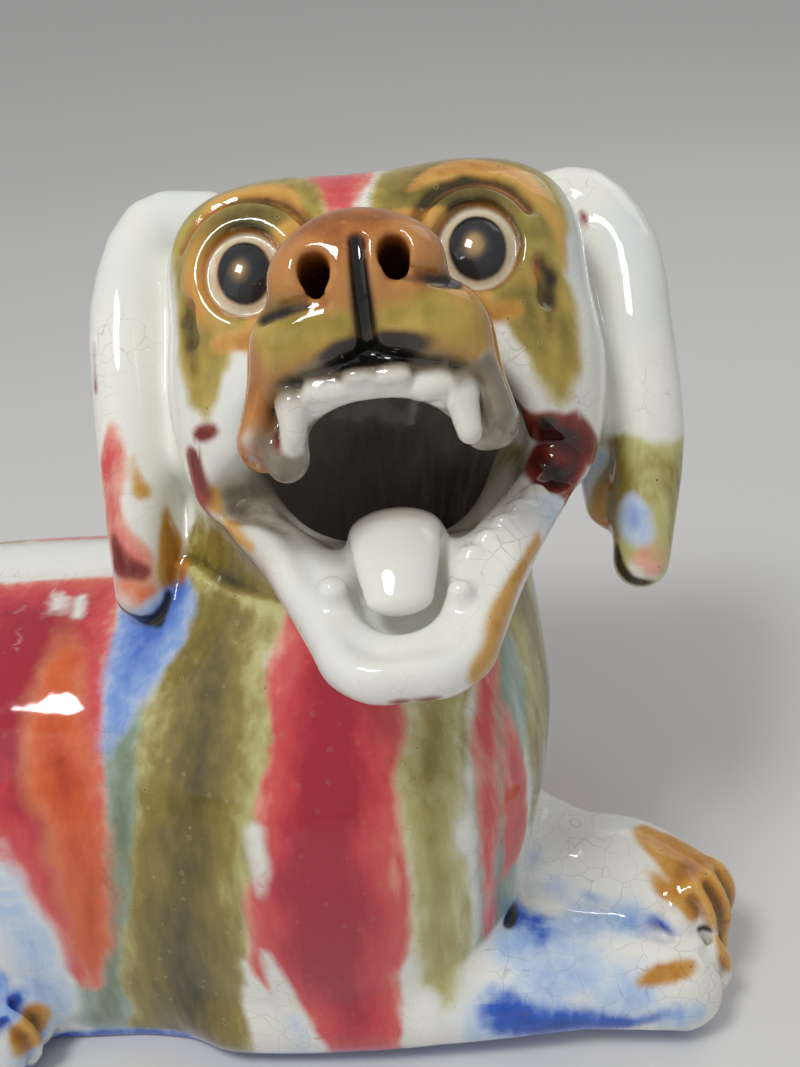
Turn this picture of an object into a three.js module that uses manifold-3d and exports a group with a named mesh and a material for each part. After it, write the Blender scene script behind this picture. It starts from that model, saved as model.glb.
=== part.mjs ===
// A glazed porcelain dog lying down, cast in one piece, with its head turned to its right side,
// its muzzle raised and its mouth wide open. Millimetres, +Z up, the paws point along +X and the
// face looks along -Y. The origin is on the flat underside, below the middle of the trunk.
import * as THREE from "three";
import { mergeVertices } from "three/addons/utils/BufferGeometryUtils.js";
import Module from "manifold-3d";

// Driving sizes
const trunkHeight = 104; // ground to the top of the back
const trunkHalfWidth = 58;
const rumpX = -118; // middle of the rump
const chestX = 26; // middle of the rib cage
const neckRadius = 40;
const legRadius = 13;
const pawRadius = 14.5;
const rightPawTip = [105, -43, 13];
const leftPawTip = [109, -34, 24]; // lies across the right one
const skullCentre = [45.5, 10.7, 158];
const skullHalf = [43, 31, 35]; // across, up and forwards
const faceMiddle = -2; // the nose and eyes sit a little to one side
const muzzleRaise = 41; // degrees that the face looks up
const headLean = 3; // degrees that the head leans towards the rump
const eyeSpread = 22.8; // middle of the face to the middle of an eye
const eyeHeight = 3.6;
const eyeRadius = 8.7;
const noseMiddle = -1.3;
const noseHalf = [13.6, 11, 9.5];
const nostrilRadius = 2.6;
const jawDrop = 58; // degrees that the lower jaw hangs below the upper one
const jawLength = 55;
const lipRadius = 3.8; // of the rolled rim of the lower jaw
const toothLength = 11;
const tongueWidth = 17.5;
const earHalfThickness = 8;
const earHalfWidth = 20;
const shellWall = 7; // left between the hollow head and its outside

// How finely the clay is sampled, and how many faces the finished skin keeps
const cell = 1.7;
const faceCount = 8600;

const sides = [-1, 1];
const lerp = (a, b, t) => a + (b - a) * t;

// A shape is a signed distance in its own frame, with the box that it fills.

// An ellipsoid, which grows boxier as its power rises above 2.
function egg(centre, radii, power = 2) {
  const [cx, cy, cz] = centre;
  const [rx, ry, rz] = radii;
  return {
    low: centre.map((c, i) => c - radii[i]),
    high: centre.map((c, i) => c + radii[i]),
    distance(x, y, z) {
      const a = Math.abs((x - cx) / rx);
      const b = Math.abs((y - cy) / ry);
      const c = Math.abs((z - cz) / rz);
      const sum = a ** power + b ** power + c ** power;
      if (sum < 1e-9) return -Math.min(rx, ry, rz);
      const f = sum ** (1 / power);
      const slope = Math.hypot(a ** (power - 1) / rx, b ** (power - 1) / ry, c ** (power - 1) / rz);
      return (f - 1) / (slope * f ** (1 - power));
    },
  };
}

// A tapering round bar through points of [x, y, z, radius]. A flattened one is wider along wideAxis:
// lengths that way are divided by widening before the distance is taken.
function bar(points, wideAxis = [1, 0, 0], widening = 1) {
  const margin = Math.max(...points.map((p) => p[3])) * Math.max(1, widening);
  const axis = new THREE.Vector3(...wideAxis).normalize();
  const squeeze = (x, y, z) => {
    const taken = (x * axis.x + y * axis.y + z * axis.z) * (1 - 1 / widening);
    return [x - taken * axis.x, y - taken * axis.y, z - taken * axis.z];
  };
  const squeezed = points.map(([x, y, z, r]) => [...squeeze(x, y, z), r]);
  const reach = (pick, sign) => [0, 1, 2].map((i) => pick(...points.map((p) => p[i])) + sign * margin);
  return {
    low: reach(Math.min, -1),
    high: reach(Math.max, 1),
    distance(px, py, pz) {
      const [x, y, z] = squeeze(px, py, pz);
      let best = Infinity;
      for (let i = 0; i + 1 < squeezed.length; i++) {
        const [ax, ay, az, ar] = squeezed[i];
        const [bx, by, bz, br] = squeezed[i + 1];
        const dx = bx - ax;
        const dy = by - ay;
        const dz = bz - az;
        const along = ((x - ax) * dx + (y - ay) * dy + (z - az) * dz) / (dx * dx + dy * dy + dz * dz);
        const t = Math.min(1, Math.max(0, along));
        const away = Math.hypot(x - ax - t * dx, y - ay - t * dy, z - az - t * dz);
        best = Math.min(best, away - lerp(ar, br, t));
      }
      return best;
    },
  };
}

// The same bar along a smooth curve through the points.
function bend(points, steps, wideAxis, widening) {
  const curve = new THREE.CatmullRomCurve3(points.map(([x, y, z]) => new THREE.Vector3(x, y, z)));
  const radii = points.map((p) => p[3]);
  const smooth = [];
  for (let i = 0; i <= steps; i++) {
    const place = (i / steps) * (points.length - 1);
    const first = Math.min(Math.floor(place), points.length - 2);
    const p = curve.getPoint(i / steps);
    smooth.push([p.x, p.y, p.z, lerp(radii[first], radii[first + 1], place - first)]);
  }
  return bar(smooth, wideAxis, widening);
}

// A ring, or part of one, around an axis along the frame's forward direction.
function ring(centre, radius, thickness, squash = 1) {
  const reach = radius * Math.max(1, squash) + thickness;
  return {
    low: centre.map((c) => c - reach),
    high: centre.map((c) => c + reach),
    distance(x, y, z) {
      const around = Math.hypot(x - centre[0], (y - centre[1]) / squash) - radius;
      return Math.hypot(around, z - centre[2]) - thickness;
    },
  };
}

// A block of clay: a signed distance on a grid, which shapes are added to and cut from.
class Clay {
  constructor(low, high, size) {
    this.low = low;
    this.size = size;
    this.count = low.map((l, i) => Math.ceil((high[i] - l) / size) + 1);
    this.field = new Float32Array(this.count[0] * this.count[1] * this.count[2]).fill(1e3);
  }

  // Calls change(old, distance) at each grid point near the shape.
  shape(shape, frame, blend, change) {
    const box = new THREE.Box3(new THREE.Vector3(...shape.low), new THREE.Vector3(...shape.high));
    box.applyMatrix4(frame).expandByScalar(blend + 3 * this.size);
    const m = frame.clone().invert().elements;
    const spot = (c, i) => Math.round((c - this.low[i]) / this.size);
    const ends = [box.min.toArray(), box.max.toArray()].map((corner) =>
      corner.map((c, i) => Math.min(this.count[i] - 1, Math.max(0, spot(c, i)))),
    );
    for (let k = ends[0][2]; k <= ends[1][2]; k++)
      for (let j = ends[0][1]; j <= ends[1][1]; j++)
        for (let i = ends[0][0]; i <= ends[1][0]; i++) {
          const x = this.low[0] + i * this.size;
          const y = this.low[1] + j * this.size;
          const z = this.low[2] + k * this.size;
          const at = i + this.count[0] * (j + this.count[1] * k);
          const d = shape.distance(
            m[0] * x + m[4] * y + m[8] * z + m[12],
            m[1] * x + m[5] * y + m[9] * z + m[13],
            m[2] * x + m[6] * y + m[10] * z + m[14],
          );
          this.field[at] = change(this.field[at], d);
        }
  }

  add(shape, blend = 4, frame = world) {
    this.shape(shape, frame, blend, (old, d) => softMin(old, d, blend));
  }

  cut(shape, blend = 2, frame = world) {
    this.shape(shape, frame, blend, (old, d) => -softMin(-old, d, blend));
  }

  // The distance at any point, between those of the grid.
  at(point) {
    const spot = point.map((p, i) => (p - this.low[i]) / this.size);
    const base = spot.map((s, i) => Math.min(this.count[i] - 2, Math.max(0, Math.floor(s))));
    let total = 0;
    for (let corner = 0; corner < 8; corner++) {
      const step = [corner & 1, (corner >> 1) & 1, corner >> 2];
      const weight = step.reduce((w, on, i) => w * (on ? spot[i] - base[i] : 1 - spot[i] + base[i]), 1);
      const [i, j, k] = base.map((b, axis) => b + step[axis]);
      total += weight * this.field[i + this.count[0] * (j + this.count[1] * k)];
    }
    return total;
  }
}

function softMin(a, b, blend) {
  const share = Math.max(0, 1 - Math.abs(a - b) / blend);
  return Math.min(a, b) - (share * share * blend) / 4;
}

// Frames: the head's has x across the face, y up and z out of the face, and the jaw's has x across,
// y up from the floor of the mouth and z along the jaw to the chin.
const world = new THREE.Matrix4();
const degrees = THREE.MathUtils.degToRad;
const head = new THREE.Matrix4()
  .makeTranslation(...skullCentre)
  .multiply(new THREE.Matrix4().makeRotationX(degrees(90 - muzzleRaise)))
  .multiply(new THREE.Matrix4().makeRotationZ(degrees(headLean)));
const jaw = head
  .clone()
  .multiply(new THREE.Matrix4().makeTranslation(0, -33, 14))
  .multiply(new THREE.Matrix4().makeRotationX(degrees(jawDrop)));

function trunk(clay) {
  const middle = trunkHeight / 3; // the widest height, so that the flanks come down steep
  const high = trunkHeight - middle;
  clay.add(egg([chestX, 0, middle], [50, trunkHalfWidth + 2, high], 2.7), 10);
  clay.add(egg([-45, 0, middle], [85, trunkHalfWidth - 3, high - 2], 2.7), 20);
  clay.add(egg([rumpX, 0, middle], [50, trunkHalfWidth - 1, high - 3], 2.4), 18);
}

function neck(clay) {
  const [x, y] = skullCentre;
  clay.add(bar([[chestX + 6, 0, 76, neckRadius + 4], [x - 3, y, 148, neckRadius - 5]]), 26);
}

function shoulders(clay) {
  for (const side of sides) clay.add(egg([chestX - 6, side * 40, 44], [30, 20, 42], 2.2), 10);
}

function foreLegs(clay) {
  // The right leg lies flat along the ground, and the left one crosses over it at the paw.
  const right = [[2, -43, 12, 15], [45, -45, 12, 14], [84, -44, 13, legRadius], [...rightPawTip, pawRadius]];
  const left = [
    [24, 26, 20, 16], [60, -6, 26, 14], [84, -25, 27.5, legRadius], [98, -28.5, 27, legRadius],
    [...leftPawTip, pawRadius - 2],
  ];
  clay.add(bend(right, 12, [0, 1, 0], 1.25), 6);
  clay.add(bend(left, 20), 3);
  clay.cut(bar([[88, -45, 29.5, 0.5], [96, -46, 28, 1.2], [104, -47, 26, 1.6], [118, -45, 25, 1.8]]), 3);
}

function hindLegs(clay) {
  for (const side of sides) {
    clay.add(egg([rumpX + 14, side * 37, 40], [42, 25, 42], 2.2), 8);
    const route = [[-118, side * 48, 13, 13], [-88, side * 55, 12, 12], [-58, side * 57, 13, pawRadius - 2]];
    clay.add(bend(route, 8), 7);
  }
}

// Four toes that curl over the end of a paw, with grooves between them. The paw points aim radians
// round from +X, and a toe runs from the first to the last of the turns, in degrees above level.
function toes(clay, tip, radius, width, aim, turns) {
  const along = new THREE.Vector3(Math.cos(aim), Math.sin(aim), 0);
  const across = new THREE.Vector3(-along.y, along.x, 0);
  const line = (share, reach, thick) => {
    const bow = radius * Math.sqrt(reach ** 2 - share ** 2);
    return bar(turns.map((turn) => {
      const place = new THREE.Vector3(...tip).addScaledVector(across, share * width);
      place.addScaledVector(along, bow * Math.cos(degrees(turn)));
      return [place.x, place.y, place.z + bow * Math.sin(degrees(turn)), thick * radius];
    }));
  };
  for (const share of [-0.6, -0.2, 0.2, 0.6]) clay.add(line(share, 0.82, 0.29), 2);
  for (const share of [-0.41, 0, 0.41]) clay.cut(line(share, 1.07, 0.1), 2);
}

function tail(clay) {
  const route = [
    [-158, 6, 66, 13], [-168, -14, 44, 12], [-163, -42, 22, 11], [-142, -60, 14, 10], [-120, -67, 13, 7],
  ];
  clay.add(bend(route, 40), 6);
}

function skull(clay) {
  clay.add(egg([0, -2, -2], skullHalf, 3.2), 12, head);
  for (const side of sides) {
    clay.add(egg([side * 23, 9, 13], [19, 17, 17], 2.4), 8, head); // brow
    clay.add(egg([side * 31, -18, 3], [14, 20, 21], 2.4), 10, head); // cheek
  }
}

function muzzle(clay) {
  clay.add(egg([-1.5, -11, 34], [15.5, 15, 28], 2.6), 9, head);
  clay.add(egg([-0.5, -20, 38], [19.5, 11, 22], 2.6), 6, head);
  for (const side of sides) {
    clay.add(egg([side * 9 - 0.3, -20, 54], [10.7, 8, 12], 2.4), 4, head); // lip beside the groove
    const fold = [[side * 17 - 0.6, -22, 44, 4.5], [side * 21 - 1, -35, 44, 4]];
    clay.add(bar(fold, [0, 0, 1], 3), 5, head); // hanging lip
  }
}

// How far out of the face its skin lies at a place across and up it.
function onFace(clay, x, y) {
  const step = 0.25;
  for (let z = 80; z > 0; z -= step) {
    if (clay.at(new THREE.Vector3(x, y, z).applyMatrix4(head).toArray()) < 0) return z;
  }
  return 0;
}

// A groove along a line of [x, y] on the face.
function crease(clay, line, radius, blend = 1.5) {
  clay.cut(bar(line.map(([x, y]) => [x, y, onFace(clay, x, y), radius])), blend, head);
}

function nose(clay) {
  clay.add(egg([noseMiddle, -11, 60], noseHalf, 2.1), 3, head);
  for (const side of sides) {
    const x = (across) => noseMiddle + side * across;
    clay.add(egg([x(8.2), -11.5 + side * 0.7, 62.5], [6.6, 6.6, 7]), 2.5, head); // wing
    crease(clay, [6, 8.5, 11, 13.5, 16].map((across) => [x(across), -16.5 + side * 1.3]), 1.1);
  }
  crease(clay, [-9, -12, -15, -18, -21, -24, -26.5].map((y) => [-0.5, y]), 1.5, 0.6);
}

function eyes(clay) {
  for (const side of sides) {
    const x = faceMiddle + side * eyeSpread;
    clay.add(ring([x, eyeHeight, 27.8], eyeRadius + 0.8, 2.5, 1.1), 3.5, head); // lid
    clay.cut(egg([x, eyeHeight, 33], [eyeRadius, eyeRadius * 1.1, 7]), 1.5, head);
    clay.add(egg([x, eyeHeight, 23.5], [eyeRadius + 0.5, eyeRadius * 1.1 + 0.5, 9.5]), 0.8, head); // ball
    const brow = [];
    for (let turn = 32; turn < 150; turn += 9) {
      const reach = eyeRadius + 5.3 - side * 1.3;
      const [across, up] = [reach * Math.cos(degrees(turn)), reach * 1.08 * Math.sin(degrees(turn))];
      brow.push([x + side * across, eyeHeight + up]);
    }
    crease(clay, brow, 1.3);
    crease(clay, [[12, -1], [13, -4], [12.5, -7]].map(([across, y]) => [x + side * across, y]), 1.2, 3);
  }
}

function hollow(clay) {
  // The cast head is hollow: the mouth opens into it, and it runs on down the throat.
  const inside = skullHalf.map((h) => h - shellWall);
  clay.cut(egg([0, -4, -4], inside, 2.4), 4, head);
  clay.cut(egg([0, -31, 18], [27, 18, 24], 2.4), 6, head);
  clay.cut(egg([0, -38, 23], [40, 7, 16], 2.6), 4, head); // corners of the mouth
  clay.cut(egg([0, -34, 42], [16, 12, 22], 2.4), 4, head); // under the palate
  clay.cut(bar([[44, 6, 140, 26], [36, 0, 80, 24]]), 8);
  for (const side of sides) {
    const [x, y] = [noseMiddle + side * 6.5, -12.6 + side * 0.7];
    const nostril = [[x, y + 2, 76, nostrilRadius], [x, y, 66, nostrilRadius], [x, -15, 34, nostrilRadius]];
    clay.cut(bar(nostril, [0, 1, 0], 1.25), 1, head);
  }
}

// Half of the jaw's outer width at a place along it, from the corners of the mouth to the chin.
const jawHalfWidth = (along) => Math.min(41, 41.8 - 0.76 * along + 0.0042 * along ** 2);

function lowerJaw(clay) {
  const lip = lipRadius;
  const side = [-8, 2, 10, 18, 26, 34, 42, 47].map((along) => [jawHalfWidth(along) - lip, -2.5, along, lip]);
  const front = jawLength - lip;
  const half = [...side, [7, -2.5, front - 0.4, lip], [0, -2.5, front, lip]];
  const other = half.slice(0, -1).reverse().map(([x, y, z, r]) => [-x, y, z, r]);
  clay.add(bar([...half, ...other], [0, 1, 0], 1.3), 5, jaw);
  clay.add(egg([0, -11, 22], [17, 6.5, 28], 2.6), 5, jaw);
  for (const flank of sides) {
    clay.add(bar([[flank * 32, -11, -10, 8], [flank * 19, -10, 18, 6.5], [flank * 9, -7, 42, 5.5]]), 6, jaw);
  }
  clay.cut(bar([[0, -2, 18, 4.5], [0, -4, -8, 11]], [1, 0, 0], 2.5), 3, jaw); // between the cheeks
  clay.cut(egg([-0.8, 5, 30], [10.5, 9.5, 14.5], 2.2), 3, jaw); // under the tongue
}

// Places along the half circle that the front of a row of teeth follows.
const arch = (place) => [...Array(17).keys()].map((n) => {
  const turn = ((n - 8) / 8) * (Math.PI / 2);
  return place(Math.sin(turn), Math.cos(turn));
});

function lowerTeeth(clay) {
  clay.add(bar(arch((s, c) => [12.5 * s - 0.5, -1, 30.5 + 15.5 * c, 2.7])), 2.5, jaw);
  for (const side of sides) {
    const sunk = 2.5 - 2.5 * side;
    const ridge = [
      [side * 12.5, -2, 29],
      [side * 18, -2.2 - sunk / 2, 21],
      [side * 28, -3.5 - sunk, 7],
      [side * 33, -7 - sunk, -6],
    ];
    clay.add(bar(ridge.map((place) => [...place, 3.5])), 4, jaw);
  }
  clay.add(egg([32.5, -2, 2.5], [4, 3.6, 4]), 2, jaw); // a blob of glaze at the corner
  for (const [x, z, radius] of [[-12.6, 35.5, 2.8], [10.6, 38.5, 2.3]]) {
    clay.add(bar([[x, -2, z, radius + 0.8], [x, toothLength * 0.3, z - 1, radius]]), 2, jaw); // canine
  }
  // Single teeth stand on the right, and those on the left are worn flat.
  for (let n = 0; n < 5; n++) clay.add(egg([13.6 + 3.33 * n, 1, 27.8 - 3.45 * n], [2.6, 2.6, 1.8]), 1.2, jaw);
}

function upperTeeth(clay) {
  const gum = arch((s, c) => [17.5 * s - 0.5, -28.2 - 7 * Math.abs(s) ** 3, 42 + 15.5 * c, 3]);
  clay.add(bar(gum, [0, 1, 0], 1.2), 2, head);
  const front = [[-8.2, -29.6, 4.2, 2.4], [-2.6, -28.6, 3, 1.5], [3, -28.9, 3.3, 2], [9, -30.2, 4, 2.9]];
  for (const [x, y, half, thick] of front) {
    const z = 43 + 17 * Math.sqrt(1 - (x / 17.5) ** 2);
    clay.add(egg([x, y, z], [half, thick, 2.2], 3), 0.9, head);
  }
  for (const [side, drop] of [[-1, 0], [1, 2.5]]) {
    const tip = -25 - toothLength - drop;
    clay.add(bar([[side * 14 - 0.4, -31, 56, 3.1], [side * 14.7, tip, 55, 2.2]]), 0.8, head); // canine
  }
  clay.add(egg([-16.8, -38.5, 50.5], [4, 4.6, 4]), 2.5, head); // glaze has run into a drop
}

function tongue(clay) {
  const route = [[-10, 15, 5], [-2, 18, 4.8], [3.2, 22, 4.6], [5, 27, 4.3], [4.8, 33, 3.8], [3.6, 38, 3.2]];
  clay.add(bend(route.map((rest) => [-0.4, ...rest]), 12, [1, 0, 0], tongueWidth / 9), 2, jaw);
  for (const side of sides) clay.add(bar([[side * 4, -4, 24, 3.5], [side * 15, -5, 26, 4]]), 5, jaw);
}

function ears(clay) {
  const top = { [-1]: 31, 1: 26 }; // the ear on the rump's side sits a little higher
  const tip = { [-1]: [-59, -51], 1: [51, -55] };
  const thick = earHalfThickness;
  for (const side of sides) {
    const out = side < 0 ? 57.5 : 55;
    const edge = [
      [side * 38, top[side], -6, thick],
      [side * (out - 8), top[side], -5, thick],
      [side * (out - 1), 14, -2, thick],
      [side * out, -8, -1, thick - 0.3],
      [side * out, -30, -3, thick - 0.5],
      [...tip[side], -8, thick - 2.5],
    ];
    const flap = edge.map(([x, y, z, r], n) => [x, y - 1, z - earHalfWidth / (n < 5 ? 2 : 4), r - 1.5]);
    const rear = [[9, 17, -18, 6], [7, 2, -22, 6], [7, -15, -23, 6], [8, -30, -21, 5.5], [9, -41, -17, 4.5]];
    clay.add(bend(edge, 14), 3, head);
    clay.add(bend(flap, 14, [0, 0, 1], 1.5), 6, head);
    clay.add(bend(rear.map(([x, ...rest]) => [side * (out - x), ...rest]), 10, [0, 0, 1], 1.3), 8, head);
    // The upper ear is fused to the head.
    clay.add(bar([[side * 45, 17, -11, 7.5], [side * 46, -22, -12, 7]], [0, 0, 1], 1.7), 4, head);
  }
}

// The skin of the clay where its distance is 0: each cube of the grid is split into 6 tetrahedra
// around its long diagonal, and each of them gives 0, 1 or 2 triangles.
function skin(clay) {
  const { count, low, size, field } = clay;
  const step = [1, count[0], count[0] * count[1]];
  const splits = [[0, 1, 2], [1, 2, 0], [2, 0, 1], [0, 2, 1], [1, 0, 2], [2, 1, 0]];
  const tetrahedra = splits.map(([a, b], n) => {
    const path = [0, 1 << a, (1 << a) | (1 << b), 7];
    return n < 3 ? path : [path[0], path[2], path[1], path[3]];
  });
  const offset = [...Array(8).keys()].map((c) => (c & 1) + ((c >> 1) & 1) * step[1] + (c >> 2) * step[2]);
  const firstOf = [[0, 1, 2, 3], [1, 0, 3, 2], [2, 0, 1, 3], [3, 0, 2, 1]];
  const pairs = {
    3: [0, 1, 2, 3], 5: [0, 2, 3, 1], 9: [0, 3, 1, 2], 6: [1, 2, 0, 3], 10: [1, 3, 2, 0], 12: [2, 3, 0, 1],
  };
  const points = [];
  const triangles = [];
  const made = new Map();
  field.fill(1, 0, step[2]); // the clay ends at the bottom of the block

  // The point where the skin crosses the grid edge from a to b.
  const crossing = (a, b) => {
    const key = a < b ? a * field.length + b : b * field.length + a;
    if (!made.has(key)) {
      made.set(key, points.length);
      const t = Math.min(0.98, Math.max(0.02, field[a] / (field[a] - field[b])));
      const place = (at, i) => low[i] + size * (i === 2 ? Math.floor(at / step[2])
        : i === 1 ? Math.floor((at % step[2]) / step[1]) : at % step[1]);
      points.push(new THREE.Vector3(...[0, 1, 2].map((i) => lerp(place(a, i), place(b, i), t))));
    }
    return made.get(key);
  };

  for (let k = 0; k + 1 < count[2]; k++)
    for (let j = 0; j + 1 < count[1]; j++)
      for (let i = 0; i + 1 < count[0]; i++) {
        const base = i + j * step[1] + k * step[2];
        const inside = offset.filter((o) => field[base + o] < 0).length;
        if (inside === 0 || inside === 8) continue;
        for (const corners of tetrahedra) {
          const at = corners.map((c) => base + offset[c]);
          const mask = at.reduce((m, p, n) => m | (field[p] < 0 ? 1 << n : 0), 0);
          if (mask === 0 || mask === 15) continue;
          if (pairs[mask]) {
            const [p, q, r, s] = pairs[mask].map((n) => at[n]);
            const quad = [crossing(p, r), crossing(p, s), crossing(q, s), crossing(q, r)];
            triangles.push([quad[0], quad[1], quad[2]], [quad[0], quad[2], quad[3]]);
            continue;
          }
          const alone = [1, 2, 4, 8].includes(mask) ? mask : 15 - mask;
          const [p, q, r, s] = firstOf[Math.log2(alone)].map((n) => at[n]);
          const face = [crossing(p, q), crossing(p, r), crossing(p, s)];
          triangles.push(alone === mask ? face : face.reverse());
        }
      }
  return { points, triangles };
}

// Removes edges from the skin, the one that changes its shape least first, until few faces are left.
// The cost of a point is its squared distance to the planes of the faces that it stands for.
function simplify({ points, triangles }, target) {
  const facesOf = points.map(() => new Set());
  triangles.forEach((t, f) => t.forEach((v) => facesOf[v].add(f)));
  const alive = triangles.map(() => true);
  const version = new Int32Array(points.length);
  const costs = points.map(() => new Float64Array(10));
  const [e1, e2, normal] = [new THREE.Vector3(), new THREE.Vector3(), new THREE.Vector3()];

  const faceNormal = (a, b, c) => normal.crossVectors(e1.subVectors(b, a), e2.subVectors(c, a));
  for (const [a, b, c] of triangles) {
    faceNormal(points[a], points[b], points[c]);
    const area = normal.length() / 2;
    if (area < 1e-9) continue;
    normal.normalize();
    const plane = [normal.x, normal.y, normal.z, -normal.dot(points[a])];
    for (const v of [a, b, c]) {
      let n = 0;
      for (let i = 0; i < 4; i++) {
        for (let j = i; j < 4; j++) costs[v][n++] += (area * plane[i] * plane[j]) / 3;
      }
    }
  }
  const error = (q, p) =>
    q[0] * p.x * p.x + 2 * q[1] * p.x * p.y + 2 * q[2] * p.x * p.z + 2 * q[3] * p.x + q[4] * p.y * p.y +
    2 * q[5] * p.y * p.z + 2 * q[6] * p.y + q[7] * p.z * p.z + 2 * q[8] * p.z + q[9];

  // The best place for the point that replaces an edge, and its cost.
  const best = (a, b) => {
    const q = costs[a].map((x, i) => x + costs[b][i]);
    const middle = points[a].clone().add(points[b]).multiplyScalar(0.5);
    const choices = [middle, points[a], points[b]];
    const matrix = new THREE.Matrix3(q[0], q[1], q[2], q[1], q[4], q[5], q[2], q[5], q[7]);
    const size = q[0] + q[4] + q[7];
    if (Math.abs(matrix.determinant()) > 1e-4 * size ** 3) {
      const solved = new THREE.Vector3(-q[3], -q[6], -q[8]).applyMatrix3(matrix.invert());
      if (solved.distanceTo(middle) < 2 * points[a].distanceTo(points[b])) choices.unshift(solved);
    }
    let chosen = null;
    let cost = Infinity;
    for (const p of choices) {
      const value = error(q, p);
      if (value < cost) [chosen, cost] = [p, value];
    }
    const length = points[a].distanceToSquared(points[b]);
    return { place: chosen.clone(), cost: Math.max(cost, 0) + 1e-5 * length, q };
  };

  const heap = [];
  const push = (entry) => {
    let i = heap.push(entry) - 1;
    for (let up = (i - 1) >> 1; i > 0 && heap[up].cost > entry.cost; up = (i - 1) >> 1) {
      heap[i] = heap[up];
      i = up;
    }
    heap[i] = entry;
  };
  const pop = () => {
    const top = heap[0];
    const last = heap.pop();
    if (heap.length) {
      let i = 0;
      for (;;) {
        let child = 2 * i + 1;
        if (child >= heap.length) break;
        if (child + 1 < heap.length && heap[child + 1].cost < heap[child].cost) child++;
        if (heap[child].cost >= last.cost) break;
        heap[i] = heap[child];
        i = child;
      }
      heap[i] = last;
    }
    return top;
  };
  const consider = (a, b) => push({ a, b, va: version[a], vb: version[b], cost: best(a, b).cost });
  const neighbours = (v) => {
    const found = new Set();
    for (const f of facesOf[v]) for (const w of triangles[f]) if (w !== v) found.add(w);
    return found;
  };
  triangles.forEach(([a, b, c]) => {
    for (const [v, w] of [[a, b], [b, c], [c, a]]) if (v < w) consider(v, w);
  });

  // Whether a face around v turns over or shrinks to a line when v moves.
  const spoils = (v, other, place) => {
    for (const f of facesOf[v]) {
      if (triangles[f].includes(other)) continue;
      const old = triangles[f].map((w) => points[w]);
      const before = faceNormal(...old).clone();
      faceNormal(...old.map((p, i) => (triangles[f][i] === v ? place : p)));
      if (normal.dot(before) < 0.2 * normal.length() * before.length() || normal.length() < 1e-7) return true;
    }
    return false;
  };

  let left = triangles.length;
  while (left > target && heap.length) {
    const { a, b, va, vb } = pop();
    if (version[a] !== va || version[b] !== vb) continue;
    const around = neighbours(a);
    const shared = [...neighbours(b)].filter((v) => around.has(v)).length;
    if (shared !== 2) continue;
    const { place, q } = best(a, b);
    if (spoils(a, b, place) || spoils(b, a, place)) continue;
    for (const f of [...facesOf[b]]) {
      if (triangles[f].includes(a)) {
        triangles[f].forEach((v) => facesOf[v].delete(f));
        alive[f] = false;
        left--;
        continue;
      }
      triangles[f][triangles[f].indexOf(b)] = a;
      facesOf[a].add(f);
    }
    facesOf[b].clear();
    points[a] = place;
    costs[a] = q;
    version[a]++;
    version[b] = -1;
    for (const v of neighbours(a)) consider(Math.min(a, v), Math.max(a, v));
  }
  return { points, triangles: triangles.filter((_, f) => alive[f]) };
}

function geometryOf({ points, triangles }) {
  const number = new Map();
  triangles.flat().forEach((v) => number.has(v) || number.set(v, number.size));
  const positions = [...number.keys()].flatMap((v) => points[v].toArray());
  return new THREE.BufferGeometry()
    .setAttribute("position", new THREE.Float32BufferAttribute(positions, 3))
    .setIndex(triangles.flat().map((v) => number.get(v)));
}

// Solids for cutting, from geometries whose faces share their points.
const wasm = await Module();
wasm.setup();
function solid(geometry) {
  return new wasm.Manifold(new wasm.Mesh({
    numProp: 3,
    vertProperties: new Float32Array(geometry.attributes.position.array),
    triVerts: new Uint32Array(geometry.index.array),
  }));
}

function geometryFrom(manifold) {
  const mesh = manifold.getMesh();
  return new THREE.BufferGeometry()
    .setAttribute("position", new THREE.Float32BufferAttribute(mesh.vertProperties, 3))
    .setIndex(new THREE.BufferAttribute(mesh.triVerts, 1));
}

const clay = new Clay([-190, -92, -12], [134, 74, 204], cell);
for (const model of [
  trunk, neck, shoulders, foreLegs, hindLegs, tail, skull, muzzle, nose, eyes, lowerJaw, hollow,
  upperTeeth, lowerTeeth, tongue, ears,
]) model(clay);
const turnsTo = (last) => [50, 35, 20, 5, -10, -25, -40, -55].filter((turn) => turn >= last);
toes(clay, rightPawTip, pawRadius, 1.2 * pawRadius, -0.1, turnsTo(-55));
toes(clay, leftPawTip, pawRadius - 1.5, pawRadius - 1.5, -0.85, turnsTo(-40));
for (const side of sides) {
  toes(clay, [-58, side * 57, 13], pawRadius - 2, pawRadius - 2, side * 0.1, turnsTo(-55));
}

// The underside is ground flat.
const ground = new THREE.BoxGeometry(500, 400, 40).translate(0, 0, -20);
ground.deleteAttribute("normal");
ground.deleteAttribute("uv");
const figure = solid(geometryOf(simplify(skin(clay), faceCount))).subtract(solid(mergeVertices(ground)));

const glaze = new THREE.MeshStandardMaterial({ color: 0xe9e6dc, roughness: 0.08, metalness: 0 });
const dog = new THREE.Mesh(geometryFrom(figure), glaze);
dog.name = "dog";

const figurine = new THREE.Group();
figurine.add(dog);
export default figurine;
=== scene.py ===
import math

import bpy
import numpy as np
from mathutils import Matrix, Vector


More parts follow.
